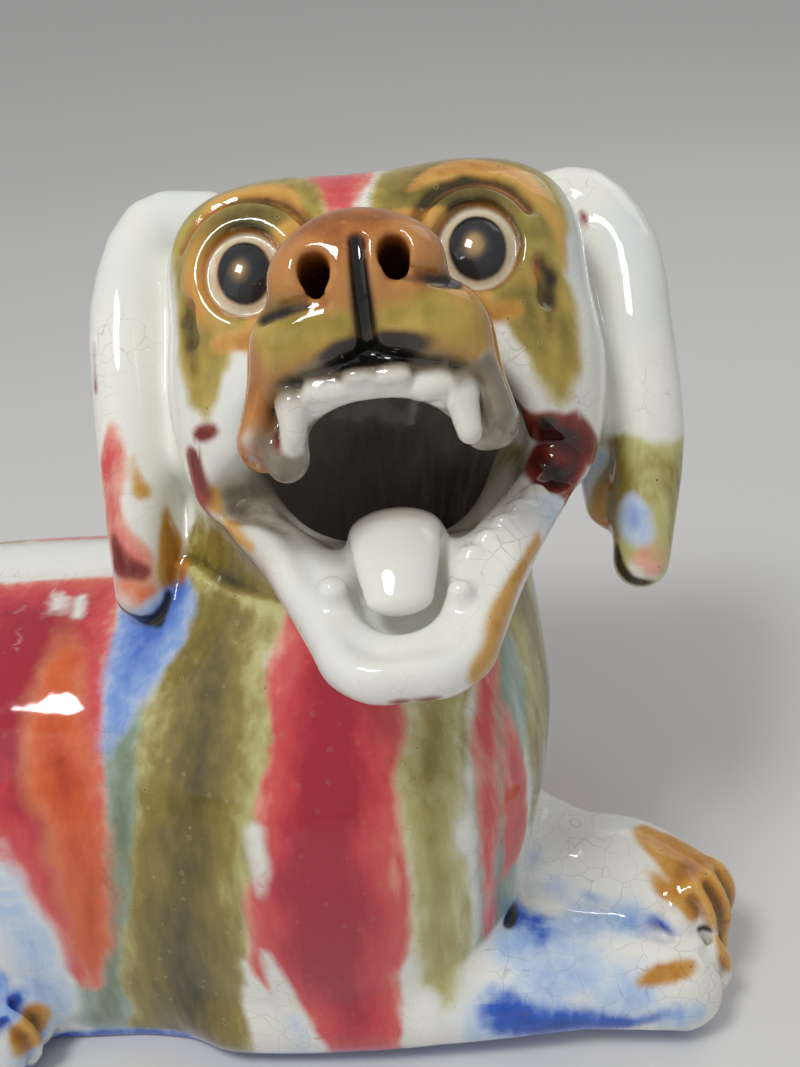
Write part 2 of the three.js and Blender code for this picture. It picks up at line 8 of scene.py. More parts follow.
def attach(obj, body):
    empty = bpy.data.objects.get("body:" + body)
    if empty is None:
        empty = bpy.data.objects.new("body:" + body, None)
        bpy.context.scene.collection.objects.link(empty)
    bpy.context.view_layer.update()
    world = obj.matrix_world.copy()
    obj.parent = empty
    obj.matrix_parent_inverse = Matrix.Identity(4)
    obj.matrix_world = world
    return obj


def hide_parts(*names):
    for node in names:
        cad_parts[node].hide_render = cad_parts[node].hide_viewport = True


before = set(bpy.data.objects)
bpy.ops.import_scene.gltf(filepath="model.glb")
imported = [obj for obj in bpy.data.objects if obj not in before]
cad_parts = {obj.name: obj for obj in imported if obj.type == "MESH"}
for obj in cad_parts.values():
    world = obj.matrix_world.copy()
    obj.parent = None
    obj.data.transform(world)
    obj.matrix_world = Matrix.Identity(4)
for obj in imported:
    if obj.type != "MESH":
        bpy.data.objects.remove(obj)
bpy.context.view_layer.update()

# A lying porcelain dog under running glazes. It is modelled again here from the same strokes as
# the solid, finer, and then glazed. Everything but lights and camera is in millimetres: +X to the
# paws, +Z up, and the face looks along -Y.


# Shapes. Each is the low and high corner of its box and how far a point is outside its skin.

def egg(centre, radii, power=2):  # boxier as its power rises above 2
    centre, radii = np.array(centre, np.float32), np.array(radii, np.float32)

    def distance(*point):
        parts = [np.abs((p - c) / r) + 1e-6 for p, c, r in zip(point, centre, radii)]
        powers = [part**power for part in parts]
        total = sum(powers)
        f = total ** (1 / power)
        slope = np.sqrt(sum((high / (part * r)) ** 2 for high, part, r in zip(powers, parts, radii)))
        return (f - 1) * total / (slope * f)

    return centre - radii, centre + radii, distance


def bar(points, wideAxis=(1, 0, 0), widening=1):  # tapers through points of x, y, z and radius
    points = np.array(points, np.float32)
    axis = np.array(wideAxis, np.float32) / np.linalg.norm(wideAxis)
    margin = points[:, 3].max() * max(1, widening)

    def squeeze(point):
        taken = sum(p * a for p, a in zip(point, axis) if a) * (1 - 1 / widening)
        return [p - taken * a if a else p for p, a in zip(point, axis)]

    line = np.stack([*squeeze(points.T[:3]), points[:, 3]], 1)

    def distance(*point):
        point = squeeze(point) if widening != 1 else point
        best = None
        for start, end in zip(line[:-1], line[1:]):
            step = end - start
            away = [p - s for p, s in zip(point, start)]
            along = sum(a * d for a, d in zip(away, step)) / float(step[:3] @ step[:3])
            t = np.clip(along, 0, 1)
            apart = np.sqrt(sum((a - t * d) ** 2 for a, d in zip(away, step))) - (start[3] + t * step[3])
            best = apart if best is None else np.minimum(best, apart)
        return best

    return points[:, :3].min(0) - margin, points[:, :3].max(0) + margin, distance


def bend(points, steps, wideAxis=(1, 0, 0), widening=1):  # the bar along a smooth curve
    points = np.array(points, float)
    places = points[:, :3]
    places = np.vstack([2 * places[0] - places[1], places, 2 * places[-1] - places[-2]])
    smooth = []
    for n in range(steps + 1):
        at = n / steps * (len(points) - 1)
        first = min(int(at), len(points) - 2)
        t = at - first
        p = places[first:first + 4]
        gaps = [float(np.sum((b - a) ** 2)) ** 0.25 for a, b in zip(p[:-1], p[1:])]
        leave = (p[1] - p[0]) / gaps[0] - (p[2] - p[0]) / (gaps[0] + gaps[1]) + (p[2] - p[1]) / gaps[1]
        arrive = (p[2] - p[1]) / gaps[1] - (p[3] - p[1]) / (gaps[1] + gaps[2]) + (p[3] - p[2]) / gaps[2]
        leave, arrive = leave * gaps[1], arrive * gaps[1]
        way = p[2] - p[1]
        place = p[1] + leave * t + (3 * way - 2 * leave - arrive) * t**2 + (leave + arrive - 2 * way) * t**3
        smooth.append([*place, points[first, 3] * (1 - t) + points[first + 1, 3] * t])
    return bar(smooth, wideAxis, widening)


def ring(centre, radius, thickness, squash=1):  # lies across the frame's z
    centre = np.array(centre, np.float32)
    reach = radius * max(1, squash) + thickness

    def distance(x, y, z):
        around = np.sqrt((x - centre[0]) ** 2 + ((y - centre[1]) / squash) ** 2) - radius
        return np.sqrt(around**2 + (z - centre[2]) ** 2) - thickness

    return centre - reach, centre + reach, distance


def softMin(a, b, blend):
    share = np.maximum(0, 1 - np.abs(a - b) / blend)
    return np.minimum(a, b) - share * share * (blend / 4)


corners = [(i, j, k) for i in (0, 1) for j in (0, 1) for k in (0, 1)]
mesh = {
    "cell": 0.8,
    "triangles": 190000,
    "low": [-190, -92, -3.2],  # the corners of the grid
    "high": [134, 76, 206],
    "emptiness": 60,  # distance given to untouched points
    "slides": 2,  # how often the skin's points move onto the exact surface
}


class Clay:  # distances to the skin on a grid of points
    def __init__(self, low, high, cell):
        self.low, self.cell = np.array(low, np.float32), cell
        self.axes = [np.arange(a, b, cell, dtype=np.float32) for a, b in zip(low, high)]
        self.field = np.full([len(axis) for axis in self.axes], mesh["emptiness"], np.float32)

    def near(self, shape, place, blend):  # the grid around a shape, and its distances to the shape
        low, high, distance = shape
        ends = np.array([low, high])
        box = np.array([place @ [ends[i, 0], ends[j, 1], ends[k, 2], 1] for i, j, k in corners])[:, :3]
        reach = blend + 3 * self.cell
        first = np.maximum((box.min(0) - reach - self.low) / self.cell, 0).astype(int)
        last = np.maximum((box.max(0) + reach - self.low) / self.cell, 0).astype(int) + 1
        part = tuple(slice(a, b) for a, b in zip(first, last))
        x, y, z = [axis[span] for axis, span in zip(self.axes, part)]
        world = [x[:, None, None], y[None, :, None], z[None, None, :]]
        return part, distance(*moved(world, place))

    def add(self, shape, blend=4, place=np.eye(4)):
        part, distance = self.near(shape, place, blend)
        self.field[part] = softMin(self.field[part], distance, blend)

    def cut(self, shape, blend=2, place=np.eye(4)):
        part, distance = self.near(shape, place, blend)
        self.field[part] = -softMin(-self.field[part], distance, blend)

    def at(self, points):  # distances at any points, between those of the grid
        spot = (points - self.low) / self.cell
        base = np.clip(spot.astype(int), 0, np.array(self.field.shape) - 2)
        share = spot - base
        total = 0
        for corner in corners:
            weight = np.prod(np.where(corner, share, 1 - share), 1)
            total = total + weight * self.field[tuple((base + corner).T)]
        return total

    def slope(self, points, reach):
        steps = np.eye(3) * reach
        return np.stack([self.at(points + s) - self.at(points - s) for s in steps], 1) / (2 * reach)


def moved(world, place):  # points of the world in a placed frame
    back = np.linalg.inv(place)
    return [sum(b * w for b, w in zip(row, world) if b) + row[3] for row in back[:3].astype(np.float32)]


def shifted(x, y, z):
    place = np.eye(4)
    place[:3, 3] = x, y, z
    return place


def turned(axis, degrees):
    return np.array(Matrix.Rotation(math.radians(degrees), 4, axis))


sides = (-1, 1)

# The trunk, limbs and tail.

body = {
    "height": 104,  # ground to the top of the back
    "halfWidth": 58,
    "rumpX": -118,
    "chestX": 26,
    "neckRadius": 40,
    "legRadius": 13,
    "pawRadius": 14.5,
    "rightTip": [105, -43, 13],
    "leftTip": [109, -34, 24],  # lies across the right one
}


def trunk(clay):
    middle = body["height"] / 3
    high = body["height"] - middle
    width = body["halfWidth"]
    clay.add(egg([body["chestX"], 0, middle], [50, width + 2, high], 2.7), 10)
    clay.add(egg([-45, 0, middle], [85, width - 3, high - 2], 2.7), 20)
    clay.add(egg([body["rumpX"], 0, middle], [50, width - 1, high - 3], 2.4), 18)


def neck(clay):
    x, y = skull["centre"][:2]
    radius = body["neckRadius"]
    clay.add(bar([[body["chestX"] + 6, 0, 76, radius + 4], [x - 3, y, 148, radius - 5]]), 26)


def legs(clay):
    for side in sides:
        clay.add(egg([body["chestX"] - 6, side * 40, 44], [30, 20, 42], 2.2), 10)
    thin, paw = body["legRadius"], body["pawRadius"]
    right = [[2, -43, 12, 15], [45, -45, 12, 14], [84, -44, 13, thin], [*body["rightTip"], paw]]
    left = [[24, 26, 20, 16], [60, -6, 26, 14], [84, -25, 27.5, thin], [98, -28.5, 27, thin],
            [*body["leftTip"], paw - 2]]
    clay.add(bend(right, 12, [0, 1, 0], 1.25), 6)
    clay.add(bend(left, 20), 3)
    clay.cut(bar([[88, -45, 29.5, 0.5], [96, -46, 28, 1.2], [104, -47, 26, 1.6], [118, -45, 25, 1.8]]), 3)
    for side in sides:
        clay.add(egg([body["rumpX"] + 14, side * 37, 40], [42, 25, 42], 2.2), 8)
        hind = [[-118, side * 48, 13, 13], [-88, side * 55, 12, 12], [-58, side * 57, 13, paw - 2]]
        clay.add(bend(hind, 8), 7)


def toes(clay, tip, radius, width, aim, turns):  # four, curled over a paw, with grooves between
    along = np.array([math.cos(aim), math.sin(aim), 0])
    across = np.array([-math.sin(aim), math.cos(aim), 0])

    def line(share, reach, thick):
        bow = radius * math.sqrt(reach**2 - share**2)
        places = [tip + across * share * width + bow * (along * math.cos(t) + np.array([0, 0, math.sin(t)]))
                  for t in np.radians(turns)]
        return bar([[*place, thick * radius] for place in places])

    for share in (-0.6, -0.2, 0.2, 0.6):
        clay.add(line(share, 0.82, 0.29), 2)
    for share in (-0.41, 0, 0.41):
        clay.cut(line(share, 1.07, 0.1), 2)


def tail(clay):
    route = [[-158, 6, 66, 13], [-168, -14, 44, 12], [-163, -42, 22, 11], [-142, -60, 14, 10],
             [-120, -67, 13, 7]]
    clay.add(bend(route, 40), 6)


# The head. Its frame has x across the face, y up and z out of the face.

skull = {
    "centre": [45.5, 10.7, 158],
    "half": [43, 31, 35],
    "faceMiddle": -2,  # the nose and eyes sit a little to one side
    "raise": 41,  # degrees that the muzzle points up
    "lean": 3,
    "wall": 7,
}
eye = {"spread": 22.8, "height": 3.6, "radius": 8.7, "pupil": {-1: -24.6, 1: 20.9}}
nose = {"middle": -1.3, "half": [13.6, 11, 9.5], "nostril": 2.6}
head = shifted(*skull["centre"]) @ turned("X", 90 - skull["raise"]) @ turned("Z", skull["lean"])


def skullAndMuzzle(clay):
    clay.add(egg([0, -2, -2], skull["half"], 3.2), 12, head)
    for side in sides:
        clay.add(egg([side * 23, 9, 13], [19, 17, 17], 2.4), 8, head)  # brow
        clay.add(egg([side * 31, -18, 3], [14, 20, 21], 2.4), 10, head)  # cheek
    clay.add(egg([-1.5, -11, 34], [15.5, 15, 28], 2.6), 9, head)
    clay.add(egg([-0.5, -20, 38], [19.5, 11, 22], 2.6), 6, head)
    for side in sides:
        clay.add(egg([side * 9 - 0.3, -20, 54], [10.7, 8, 12], 2.4), 4, head)  # lip beside the groove
        fold = [[side * 17 - 0.6, -22, 44, 4.5], [side * 21 - 1, -35, 44, 4]]
        clay.add(bar(fold, [0, 0, 1], 3), 5, head)  # hanging lip


def onFace(clay, x, y):  # how far out of the face its skin lies
    depths = np.arange(80, 0, -0.25)
    spots = np.array([head @ [x, y, z, 1] for z in depths])[:, :3]
    return depths[np.argmax(clay.at(spots) < 0)]


def crease(clay, line, radius, blend=1.5):
    clay.cut(bar([[x, y, onFace(clay, x, y), radius] for x, y in line]), blend, head)


def noseAndEyes(clay):
    middle = skull["faceMiddle"]
    clay.add(egg([nose["middle"], -11, 60], nose["half"], 2.1), 3, head)
    for side in sides:
        x, low = nose["middle"], -16.5 + side * 1.3
        clay.add(egg([x + side * 8.2, -11.5 + side * 0.7, 62.5], [6.6, 6.6, 7]), 2.5, head)  # wing
        crease(clay, [[x + side * across, low] for across in (6, 8.5, 11, 13.5, 16)], 1.1)
    crease(clay, [[-0.5, y] for y in (-9, -12, -15, -18, -21, -24, -26.5)], 1.5, 0.6)
    radius, height = eye["radius"], eye["height"]
    for side in sides:
        x = middle + side * eye["spread"]
        clay.add(ring([x, height, 27.8], radius + 0.8, 2.5, 1.1), 3.5, head)  # lid
        clay.cut(egg([x, height, 33], [radius, radius * 1.1, 7]), 1.5, head)
        clay.add(egg([x, height, 23.5], [radius + 0.5, radius * 1.1 + 0.5, 9.5]), 0.8, head)  # ball
        brow = []
        for turn in range(32, 150, 9):
            reach = radius + 5.3 - side * 1.3
            brow.append([x + side * reach * math.cos(math.radians(turn)),
                         height + reach * 1.08 * math.sin(math.radians(turn))])
        crease(clay, brow, 1.3)
        crease(clay, [[x + side * 12, -1], [x + side * 13, -4], [x + side * 12.5, -7]], 1.2, 3)


def hollow(clay):  # the cast head is hollow down to the throat
    clay.cut(egg([0, -4, -4], [h - skull["wall"] for h in skull["half"]], 2.4), 4, head)
    clay.cut(egg([0, -31, 18], [27, 18, 24], 2.4), 6, head)
    clay.cut(egg([0, -38, 23], [40, 7, 16], 2.6), 4, head)  # corners of the mouth
    clay.cut(egg([0, -34, 42], [16, 12, 22], 2.4), 4, head)  # under the palate
    clay.cut(bar([[44, 6, 140, 26], [36, 0, 80, 24]]), 8)
    for side in sides:
        x, y = nose["middle"] + side * 6.5, -12.6 + side * 0.7
        hole = [[x, y + 2, 76, nose["nostril"]], [x, y, 66, nose["nostril"]], [x, -15, 34, nose["nostril"]]]
        clay.cut(bar(hole, [0, 1, 0], 1.25), 1, head)


# The lower jaw. Its frame has x across, y up from the floor of the mouth and z to the chin.

jawSizes = {"drop": 58, "length": 55, "lip": 3.8, "tooth": 11, "tongueWidth": 17.5}
jaw = head @ shifted(0, -33, 14) @ turned("X", jawSizes["drop"])


def jawHalfWidth(along):
    return min(41, 41.8 - 0.76 * along + 0.0042 * along**2)


def lowerJaw(clay):
    lip = jawSizes["lip"]
    side = [[jawHalfWidth(along) - lip, -2.5, along, lip] for along in (-8, 2, 10, 18, 26, 34, 42, 47)]
    front = jawSizes["length"] - lip
    half = [*side, [7, -2.5, front - 0.4, lip], [0, -2.5, front, lip]]
    other = [[-x, y, z, r] for x, y, z, r in half[-2::-1]]
    clay.add(bend(half + other, 60, [0, 1, 0], 1.3), 5, jaw)
    clay.add(egg([0, -11, 22], [17, 6.5, 28], 2.6), 5, jaw)
    for s in sides:
        clay.add(bar([[s * 32, -11, -10, 8], [s * 19, -10, 18, 6.5], [s * 9, -7, 42, 5.5]]), 6, jaw)
    clay.cut(bar([[0, -2, 18, 4.5], [0, -4, -8, 11]], [1, 0, 0], 2.5), 3, jaw)  # between the cheeks
    clay.cut(egg([-0.8, 5, 30], [10.5, 9.5, 14.5], 2.2), 3, jaw)  # under the tongue


def halfTurn():  # sine and cosine along the front of a row of teeth
    return [(math.sin(n / 8 * math.pi / 2), math.cos(n / 8 * math.pi / 2)) for n in range(-8, 9)]


frontTeeth = ((-8.2, -29.6, 4.2, 2.4), (-2.6, -28.6, 3, 1.5), (3, -28.9, 3.3, 2), (9, -30.2, 4, 2.9))


def teeth(clay):
    length = jawSizes["tooth"]
    gum = [[17.5 * s - 0.5, -28.2 - 7 * abs(s) ** 3, 42 + 15.5 * c, 3] for s, c in halfTurn()]
    clay.add(bar(gum, [0, 1, 0], 1.2), 2, head)
    for x, y, half, thick in frontTeeth:
        z = 43 + 17 * math.sqrt(1 - (x / 17.5) ** 2)
        clay.add(egg([x, y, z], [half, thick, 2.2], 3), 0.9, head)
    for side, drop in ((-1, 0), (1, 2.5)):
        tip = -25 - length - drop
        clay.add(bar([[side * 14 - 0.4, -31, 56, 3.1], [side * 14.7, tip, 55, 2.2]]), 0.8, head)
    clay.add(egg([-16.8, -38.5, 50.5], [4, 4.6, 4]), 2.5, head)  # glaze has run into a drop
    clay.add(bar([[12.5 * s - 0.5, -1, 30.5 + 15.5 * c, 2.7] for s, c in halfTurn()]), 2.5, jaw)
    for side in sides:
        sunk = 2.5 - 2.5 * side
        ridge = [[side * 12.5, -2, 29], [side * 18, -2.2 - sunk / 2, 21], [side * 28, -3.5 - sunk, 7],
                 [side * 33, -7 - sunk, -6]]
        clay.add(bar([[*place, 3.5] for place in ridge]), 4, jaw)
    clay.add(egg([32.5, -2, 2.5], [4, 3.6, 4]), 2, jaw)  # a blob of glaze at the corner
    for x, z, radius in ((-12.6, 35.5, 2.8), (10.6, 38.5, 2.3)):
        clay.add(bar([[x, -2, z, radius + 0.8], [x, length * 0.3, z - 1, radius]]), 2, jaw)
    for n in range(5):  # blunt teeth on the dog's left
        clay.add(egg([13.6 + 3.33 * n, 1, 27.8 - 3.45 * n], [2.6, 2.6, 1.8]), 1.2, jaw)


def tongue(clay):
    route = [[-10, 15, 5], [-2, 18, 4.8], [3.2, 22, 4.6], [5, 27, 4.3], [4.8, 33, 3.8], [3.6, 38, 3.2]]
    clay.add(bend([[-0.4, *rest] for rest in route], 12, [1, 0, 0], jawSizes["tongueWidth"] / 9), 2, jaw)
    for side in sides:
        clay.add(bar([[side * 4, -4, 24, 3.5], [side * 15, -5, 26, 4]]), 5, jaw)


ear = {
    "halfThickness": 8,
    "halfWidth": 20,
    "top": {-1: 31, 1: 26},  # the one on the rump's side sits a little higher
    "tip": {-1: [-59, -51], 1: [51, -55]},
    "out": {-1: 57.5, 1: 55},
}


def ears(clay):
    thick, width = ear["halfThickness"], ear["halfWidth"]
    for side in sides:
        out, top = ear["out"][side], ear["top"][side]
        edge = [
            [side * 38, top, -6, thick],
            [side * (out - 8), top, -5, thick],
            [side * (out - 1), 14, -2, thick],
            [side * out, -8, -1, thick - 0.3],
            [side * out, -30, -3, thick - 0.5],
            [*ear["tip"][side], -8, thick - 2.5],
        ]
        lap = [width / 2] * 5 + [width / 4]
        flap = [[x, y - 1, z - back, r - 1.5] for (x, y, z, r), back in zip(edge, lap)]
        rear = [
            [side * (out - 9), 17, -18, 6],
            [side * (out - 7), 2, -22, 6],
            [side * (out - 7), -15, -23, 6],
            [side * (out - 8), -30, -21, 5.5],
            [side * (out - 9), -41, -17, 4.5],
        ]
        clay.add(bend(edge, 14), 3, head)
        clay.add(bend(flap, 14, [0, 0, 1], 1.5), 6, head)
        clay.add(bend(rear, 10, [0, 0, 1], 1.3), 8, head)
        clay.add(bar([[side * 45, 17, -11, 7.5], [side * 46, -22, -12, 7]], [0, 0, 1], 1.7), 4, head)


# The skin of the clay: a point in each cube of the grid that it crosses.

def skin(clay):
    field = clay.field
    inside = field < 0
    size = np.array(field.shape) - 1
    count = sum(inside[i:i + size[0], j:j + size[1], k:k + size[2]].astype(np.uint8) for i, j, k in corners)
    cubes = np.argwhere((count > 0) & (count < 8))
    values = np.stack([field[tuple((cubes + corner).T)] for corner in corners], 1)
    total, crossings = np.zeros((len(cubes), 3)), np.zeros((len(cubes), 1))
    for a, low in enumerate(corners):
        for b, high in enumerate(corners):
            step = np.subtract(high, low)
            if sorted(step) != [0, 0, 1]:  # only along the cube's edges
                continue
            crossed = (values[:, a] < 0) != (values[:, b] < 0)
            gap = values[:, a] - values[:, b]
            t = np.where(crossed, values[:, a] / np.where(crossed, gap, 1), 0)[:, None]
            total += crossed[:, None] * (np.array(low) + t * step)
            crossings += crossed[:, None]
    points = clay.low + clay.cell * (cubes + total / crossings)
    number = np.full(size, -1, np.int32)
    number[tuple(cubes.T)] = np.arange(len(cubes))

    quads = []
    for axis in range(3):
        u, v = (axis + 1) % 3, (axis + 2) % 3
        step = np.eye(3, dtype=int)
        ahead = [slice(1, None) if n == axis else slice(None) for n in range(3)]
        back = [slice(None, -1) if n == axis else slice(None) for n in range(3)]
        edges = np.argwhere(inside[tuple(back)] != inside[tuple(ahead)])
        across = edges[:, [u, v]]
        edges = edges[np.all((across > 0) & (across < size[[u, v]]), 1)]
        around = [edges - step[u] - step[v], edges - step[v], edges, edges - step[u]]
        quad = np.stack([number[tuple(cube.T)] for cube in around], 1)
        outward = inside[tuple(edges.T)]
        quads.append(np.where(outward[:, None], quad, quad[:, ::-1]))
    quads = np.vstack(quads)
    for _ in range(mesh["slides"]):
        slope = clay.slope(points, clay.cell)
        push = clay.at(points)[:, None] * slope / np.maximum((slope**2).sum(1), 0.2)[:, None]
        points = points - np.clip(push, -0.4 * clay.cell, 0.4 * clay.cell)
    across = np.linalg.norm(points[quads[:, 0]] - points[quads[:, 2]], axis=1)
    other = np.linalg.norm(points[quads[:, 1]] - points[quads[:, 3]], axis=1)
    quads = np.where((other < across)[:, None], np.roll(quads, -1, 1), quads)
    return points, np.vstack([quads[:, [0, 1, 2]], quads[:, [0, 2, 3]]])


def meshFrom(name, points, triangles):
    made = bpy.data.meshes.new(name)
    made.vertices.add(len(points))
    made.loops.add(triangles.size)
    made.polygons.add(len(triangles))
    made.vertices.foreach_set("co", (points / 1000).astype(np.float32).ravel())
    made.loops.foreach_set("vertex_index", triangles.astype(np.int32).ravel())
    made.polygons.foreach_set("loop_start", np.arange(0, triangles.size, 3, dtype=np.int32))
    made.update(calc_edges=True)
    made.validate()
    return made


def pointsOf(made):
    flat = np.zeros(len(made.vertices) * 3, np.float32)
    made.vertices.foreach_get("co", flat)
    return flat.reshape(-1, 3) * 1000


def sculpt():
    clay = Clay(mesh["low"], mesh["high"], mesh["cell"])
    for shape in (trunk, neck, legs, tail, skullAndMuzzle, noseAndEyes, lowerJaw, hollow, teeth, tongue,
                  ears):
        shape(clay)
    paw = body["pawRadius"]
    toes(clay, body["rightTip"], paw, 1.2 * paw, -0.1, range(50, -65, -15))
    toes(clay, body["leftTip"], paw - 1.5, paw - 1.5, -0.85, range(50, -50, -15))
    for side in sides:
        toes(clay, [-58, side * 57, 13], paw - 2, paw - 2, side * 0.1, range(50, -65, -15))
    clay.field = np.maximum(clay.field, -clay.axes[2])  # ground flat underneath
    return clay


def finerMesh(clay):
    points, triangles = skin(clay)
    print("skin:", len(triangles), "triangles")
    rough = bpy.data.objects.new("rough", meshFrom("rough", points, triangles))
    bpy.context.scene.collection.objects.link(rough)
    fewer = rough.modifiers.new("fewer", "DECIMATE")
    fewer.ratio = min(1, mesh["triangles"] / len(triangles))
    made = bpy.data.meshes.new_from_object(rough.evaluated_get(bpy.context.evaluated_depsgraph_get()))
    bpy.data.objects.remove(rough)
    made.name = "porcelain_dog"
    points = pointsOf(made)
    slope = clay.slope(points, clay.cell)
    made.polygons.foreach_set("use_smooth", np.ones(len(made.polygons), bool))
    made.normals_split_custom_set_from_vertices((slope / np.linalg.norm(slope, axis=1)[:, None]).tolist())
    return made


clay = sculpt()
print("clay is modelled")
dogMesh = finerMesh(clay)
dog = bpy.data.objects.new("porcelain_dog", dogMesh)
bpy.context.scene.collection.objects.link(dog)
print("mesh:", len(dogMesh.polygons), "triangles")


# The glazes, and painted shade deep in the throat and on the inner walls of the jaw. Each colour
# lies where strokes of it were brushed on: the mesh's points hold the distance to them in
# millimetres, and the shader gives the strokes ragged edges and runs.

coats = {}


def brush(colour, shape, place=np.eye(4)):
    coats.setdefault(colour, []).append((shape, place))


def daub(strokes, place=np.eye(4)):  # each drawn out along the frame's z, in steps through its points
    for colour, reach, points in strokes:
        brush(colour, bar(points, (0, 0, 1), reach), place)


bands = {
    "spineEdge": {-1: 2, 1: 26},  # the white back lies between, beyond the middle
    "top": 108,  # at the flank, and higher towards the middle
    "rise": 0.6,
    "chestX": 66,
    "through": 100,  # how far a band is drawn out through the body
    "farShift": 9,  # the far flank's bands, beside the near flank's
    "farStretch": 0.96,
    "farWider": 1.1,
}


def downFlank(side, line):  # through height, place along the flank and half width
    low, high, distance = bar([[x, 0, z, half] for z, x, half in line], (0, 1, 0), bands["through"])

    def onFlank(x, y, z):  # not over the back or up to the head
        over = z - bands["top"] - bands["rise"] * (body["halfWidth"] + 2 - abs(y))
        return np.maximum(distance(x, y, z), np.maximum(side * (bands["spineEdge"][side] - y), over))

    return low, high, onFlank


def behind(shape, depth):  # only the part of a shape that lies deeper in the head
    low, high, distance = shape
    return low, high, lambda x, y, z: np.maximum(distance(x, y, z), z - depth)


def downChest(line):  # through height, place across the chest and half width
    low, high, distance = bar([[0, y, z, half] for z, y, half in line], (1, 0, 0), bands["through"])
    return low, high, lambda x, y, z: np.maximum(distance(x, y, z), bands["chestX"] - x)


flankBands = (  # of the flank that the face looks over, from the rump to the chest
    ("red", ((94, -170, 9), (60, -171, 10), (30, -172, 8), (12, -173, 6))),
    ("olive", ((112, -148, 9), (80, -142, 11), (40, -146, 13), (10, -150, 12))),
    ("celadon", ((100, -130, 5), (60, -127, 6), (12, -133, 5))),
    ("red", ((98, -112, 13), (70, -110, 11), (40, -113, 8), (18, -118, 5))),
    ("violet", ((101, -92, 7), (70, -90, 6), (45, -92, 4))),
    ("olive", ((100, -76, 10), (70, -75, 9), (40, -80, 11), (10, -84, 12))),
    ("red", ((98, -52, 12), (80, -52, 9), (70, -50, 3))),
    ("red", ((97, -38, 21), (72, -33, 13.5), (48, -31, 7), (24, -32.5, 3))),
    ("sky", ((66, -46, 4.5), (46, -43, 6.5), (26, -43, 6), (12, -46, 6))),
    ("orange", ((96, -30, 5), (80, -28, 8), (60, -26.5, 6), (40, -28, 4.5), (27, -31, 2))),
    ("celadon", ((104, -12, 8), (75, -15.5, 7), (53, -21, 6.5), (35, -25.5, 6.5), (10, -31, 7.5))),
    ("violet", ((112, -2, 4), (101, -12, 7), (96, -15, 4.5), (88, -18.5, 1.5))),
    ("olive", ((136, 16, 11), (112, 9, 12), (100, 5.5, 13.5), (92, 4, 14.5), (80, 1.5, 14),
               (58, -3.5, 13.5), (38, -7.5, 14), (6, -10.5, 16))),
    ("red", ((132, 38, 11), (112, 34, 14), (95, 31, 16.5), (80, 29.5, 17.5), (60, 27, 19), (40, 26.5, 18),
             (22, 30.5, 12), (8, 31, 10.5))),
    ("bare", ((76, 14, 1.5), (68, 14.5, 2), (60, 14, 1))),
    ("bare", ((44, 13, 1), (30, 14.5, 2.8), (16, 17, 4), (5, 19, 3.5))),
    ("sky", ((20, 16.5, 1.2), (6, 18, 2.2))),
    ("moss", ((132, 58, 4), (80, 51, 6.5), (60, 51.5, 6), (42, 51.5, 6.2), (24, 50, 5))),
    ("bare", ((20, 46, 4.5), (10, 46, 5))),
    ("olive", ((128, 63, 2), (80, 57.5, 1.6), (60, 57, 1.8), (24, 55.5, 1.4))),
    ("celadon", ((110, 68, 6), (80, 66, 6), (40, 65, 5.5), (12, 63, 6))),
    ("red", ((116, 66, 2.6), (85, 63.5, 3.4), (70, 63.3, 3.2), (55, 63, 2.6), (40, 62.5, 1.6),
             (26, 62, 0.8))),
    ("olive", ((110, 79, 4), (85, 76.5, 3.2), (64, 75.5, 2), (50, 75, 1))),
)

chestBands = (  # of the chest, from the far leg to the near one
    ("olive", ((128, 44, 8), (96, 47, 9), (40, 46, 9), (6, 45, 9))),
    ("celadon", ((128, 31, 4), (90, 34, 5), (50, 34, 5), (12, 34, 6))),
    ("red", ((132, 16, 10), (104, 18, 12), (70, 18, 11), (44, 19, 10), (14, 22, 8))),
    ("sky", ((128, 2, 3), (100, 1, 4.5), (60, 2, 5), (20, 4, 6))),
    ("olive", ((130, -12, 8), (104, -13, 10), (72, -14, 9), (40, -14, 9), (8, -14, 9))),
    ("celadon", ((112, -27, 4), (80, -28, 5), (44, -28, 5))),
    ("red", ((112, -40, 7), (80, -41, 8), (50, -42, 6))),
)


def brushBody():
    for colour, line in flankBands:
        brush(colour, downFlank(-1, line))
        shift, stretch, wider = bands["farShift"], bands["farStretch"], bands["farWider"]
        brush(colour, downFlank(1, [(z, x * stretch + shift, half * wider) for z, x, half in line]))
    for colour, line in chestBands:
        brush(colour, downChest(line))
    high = body["height"]
    for x, y in ((-44, -8), (-42, -16), (-36, -4), (-52, -30), (-30, -6)):
        daub([("bare", 1, ((x, y, high - 2, 0.6), (x + 1, y - 6, high - 3, 0.9)))])
    daub((
        ("bare", 1, ((-150, 14, high - 6, 9), (-100, 14, high, 12), (-20, 15, high + 2, 12),
                     (0, 24, high + 14, 10))),
        ("cobalt", 1.3, ((-168, -14, 44, 9), (-163, -42, 22, 9))),
        ("honey", 1, ((-142, -62, 15, 9), (-120, -68, 13, 9))),
    ))
    brush("bare", egg([58, -52, 66], [2.4, 14, 5.5]))
    brush("cobalt", egg([-25, 0, -6], [150, 80, 11], 6))  # along the foot


pawWash = (  # pale blue on the front paws: middle and radius
    (70, -46, 22, 9), (80, -54, 21, 8), (91, -57, 18, 7), (84, -44, 28, 5), (80, -36, 31, 3.4),
    (73, -30, 34, 3), (98, -25, 38, 3.4), (106, -60, 14, 5), (66, -57, 12, 10), (94, -44, 28, 3.4),
)

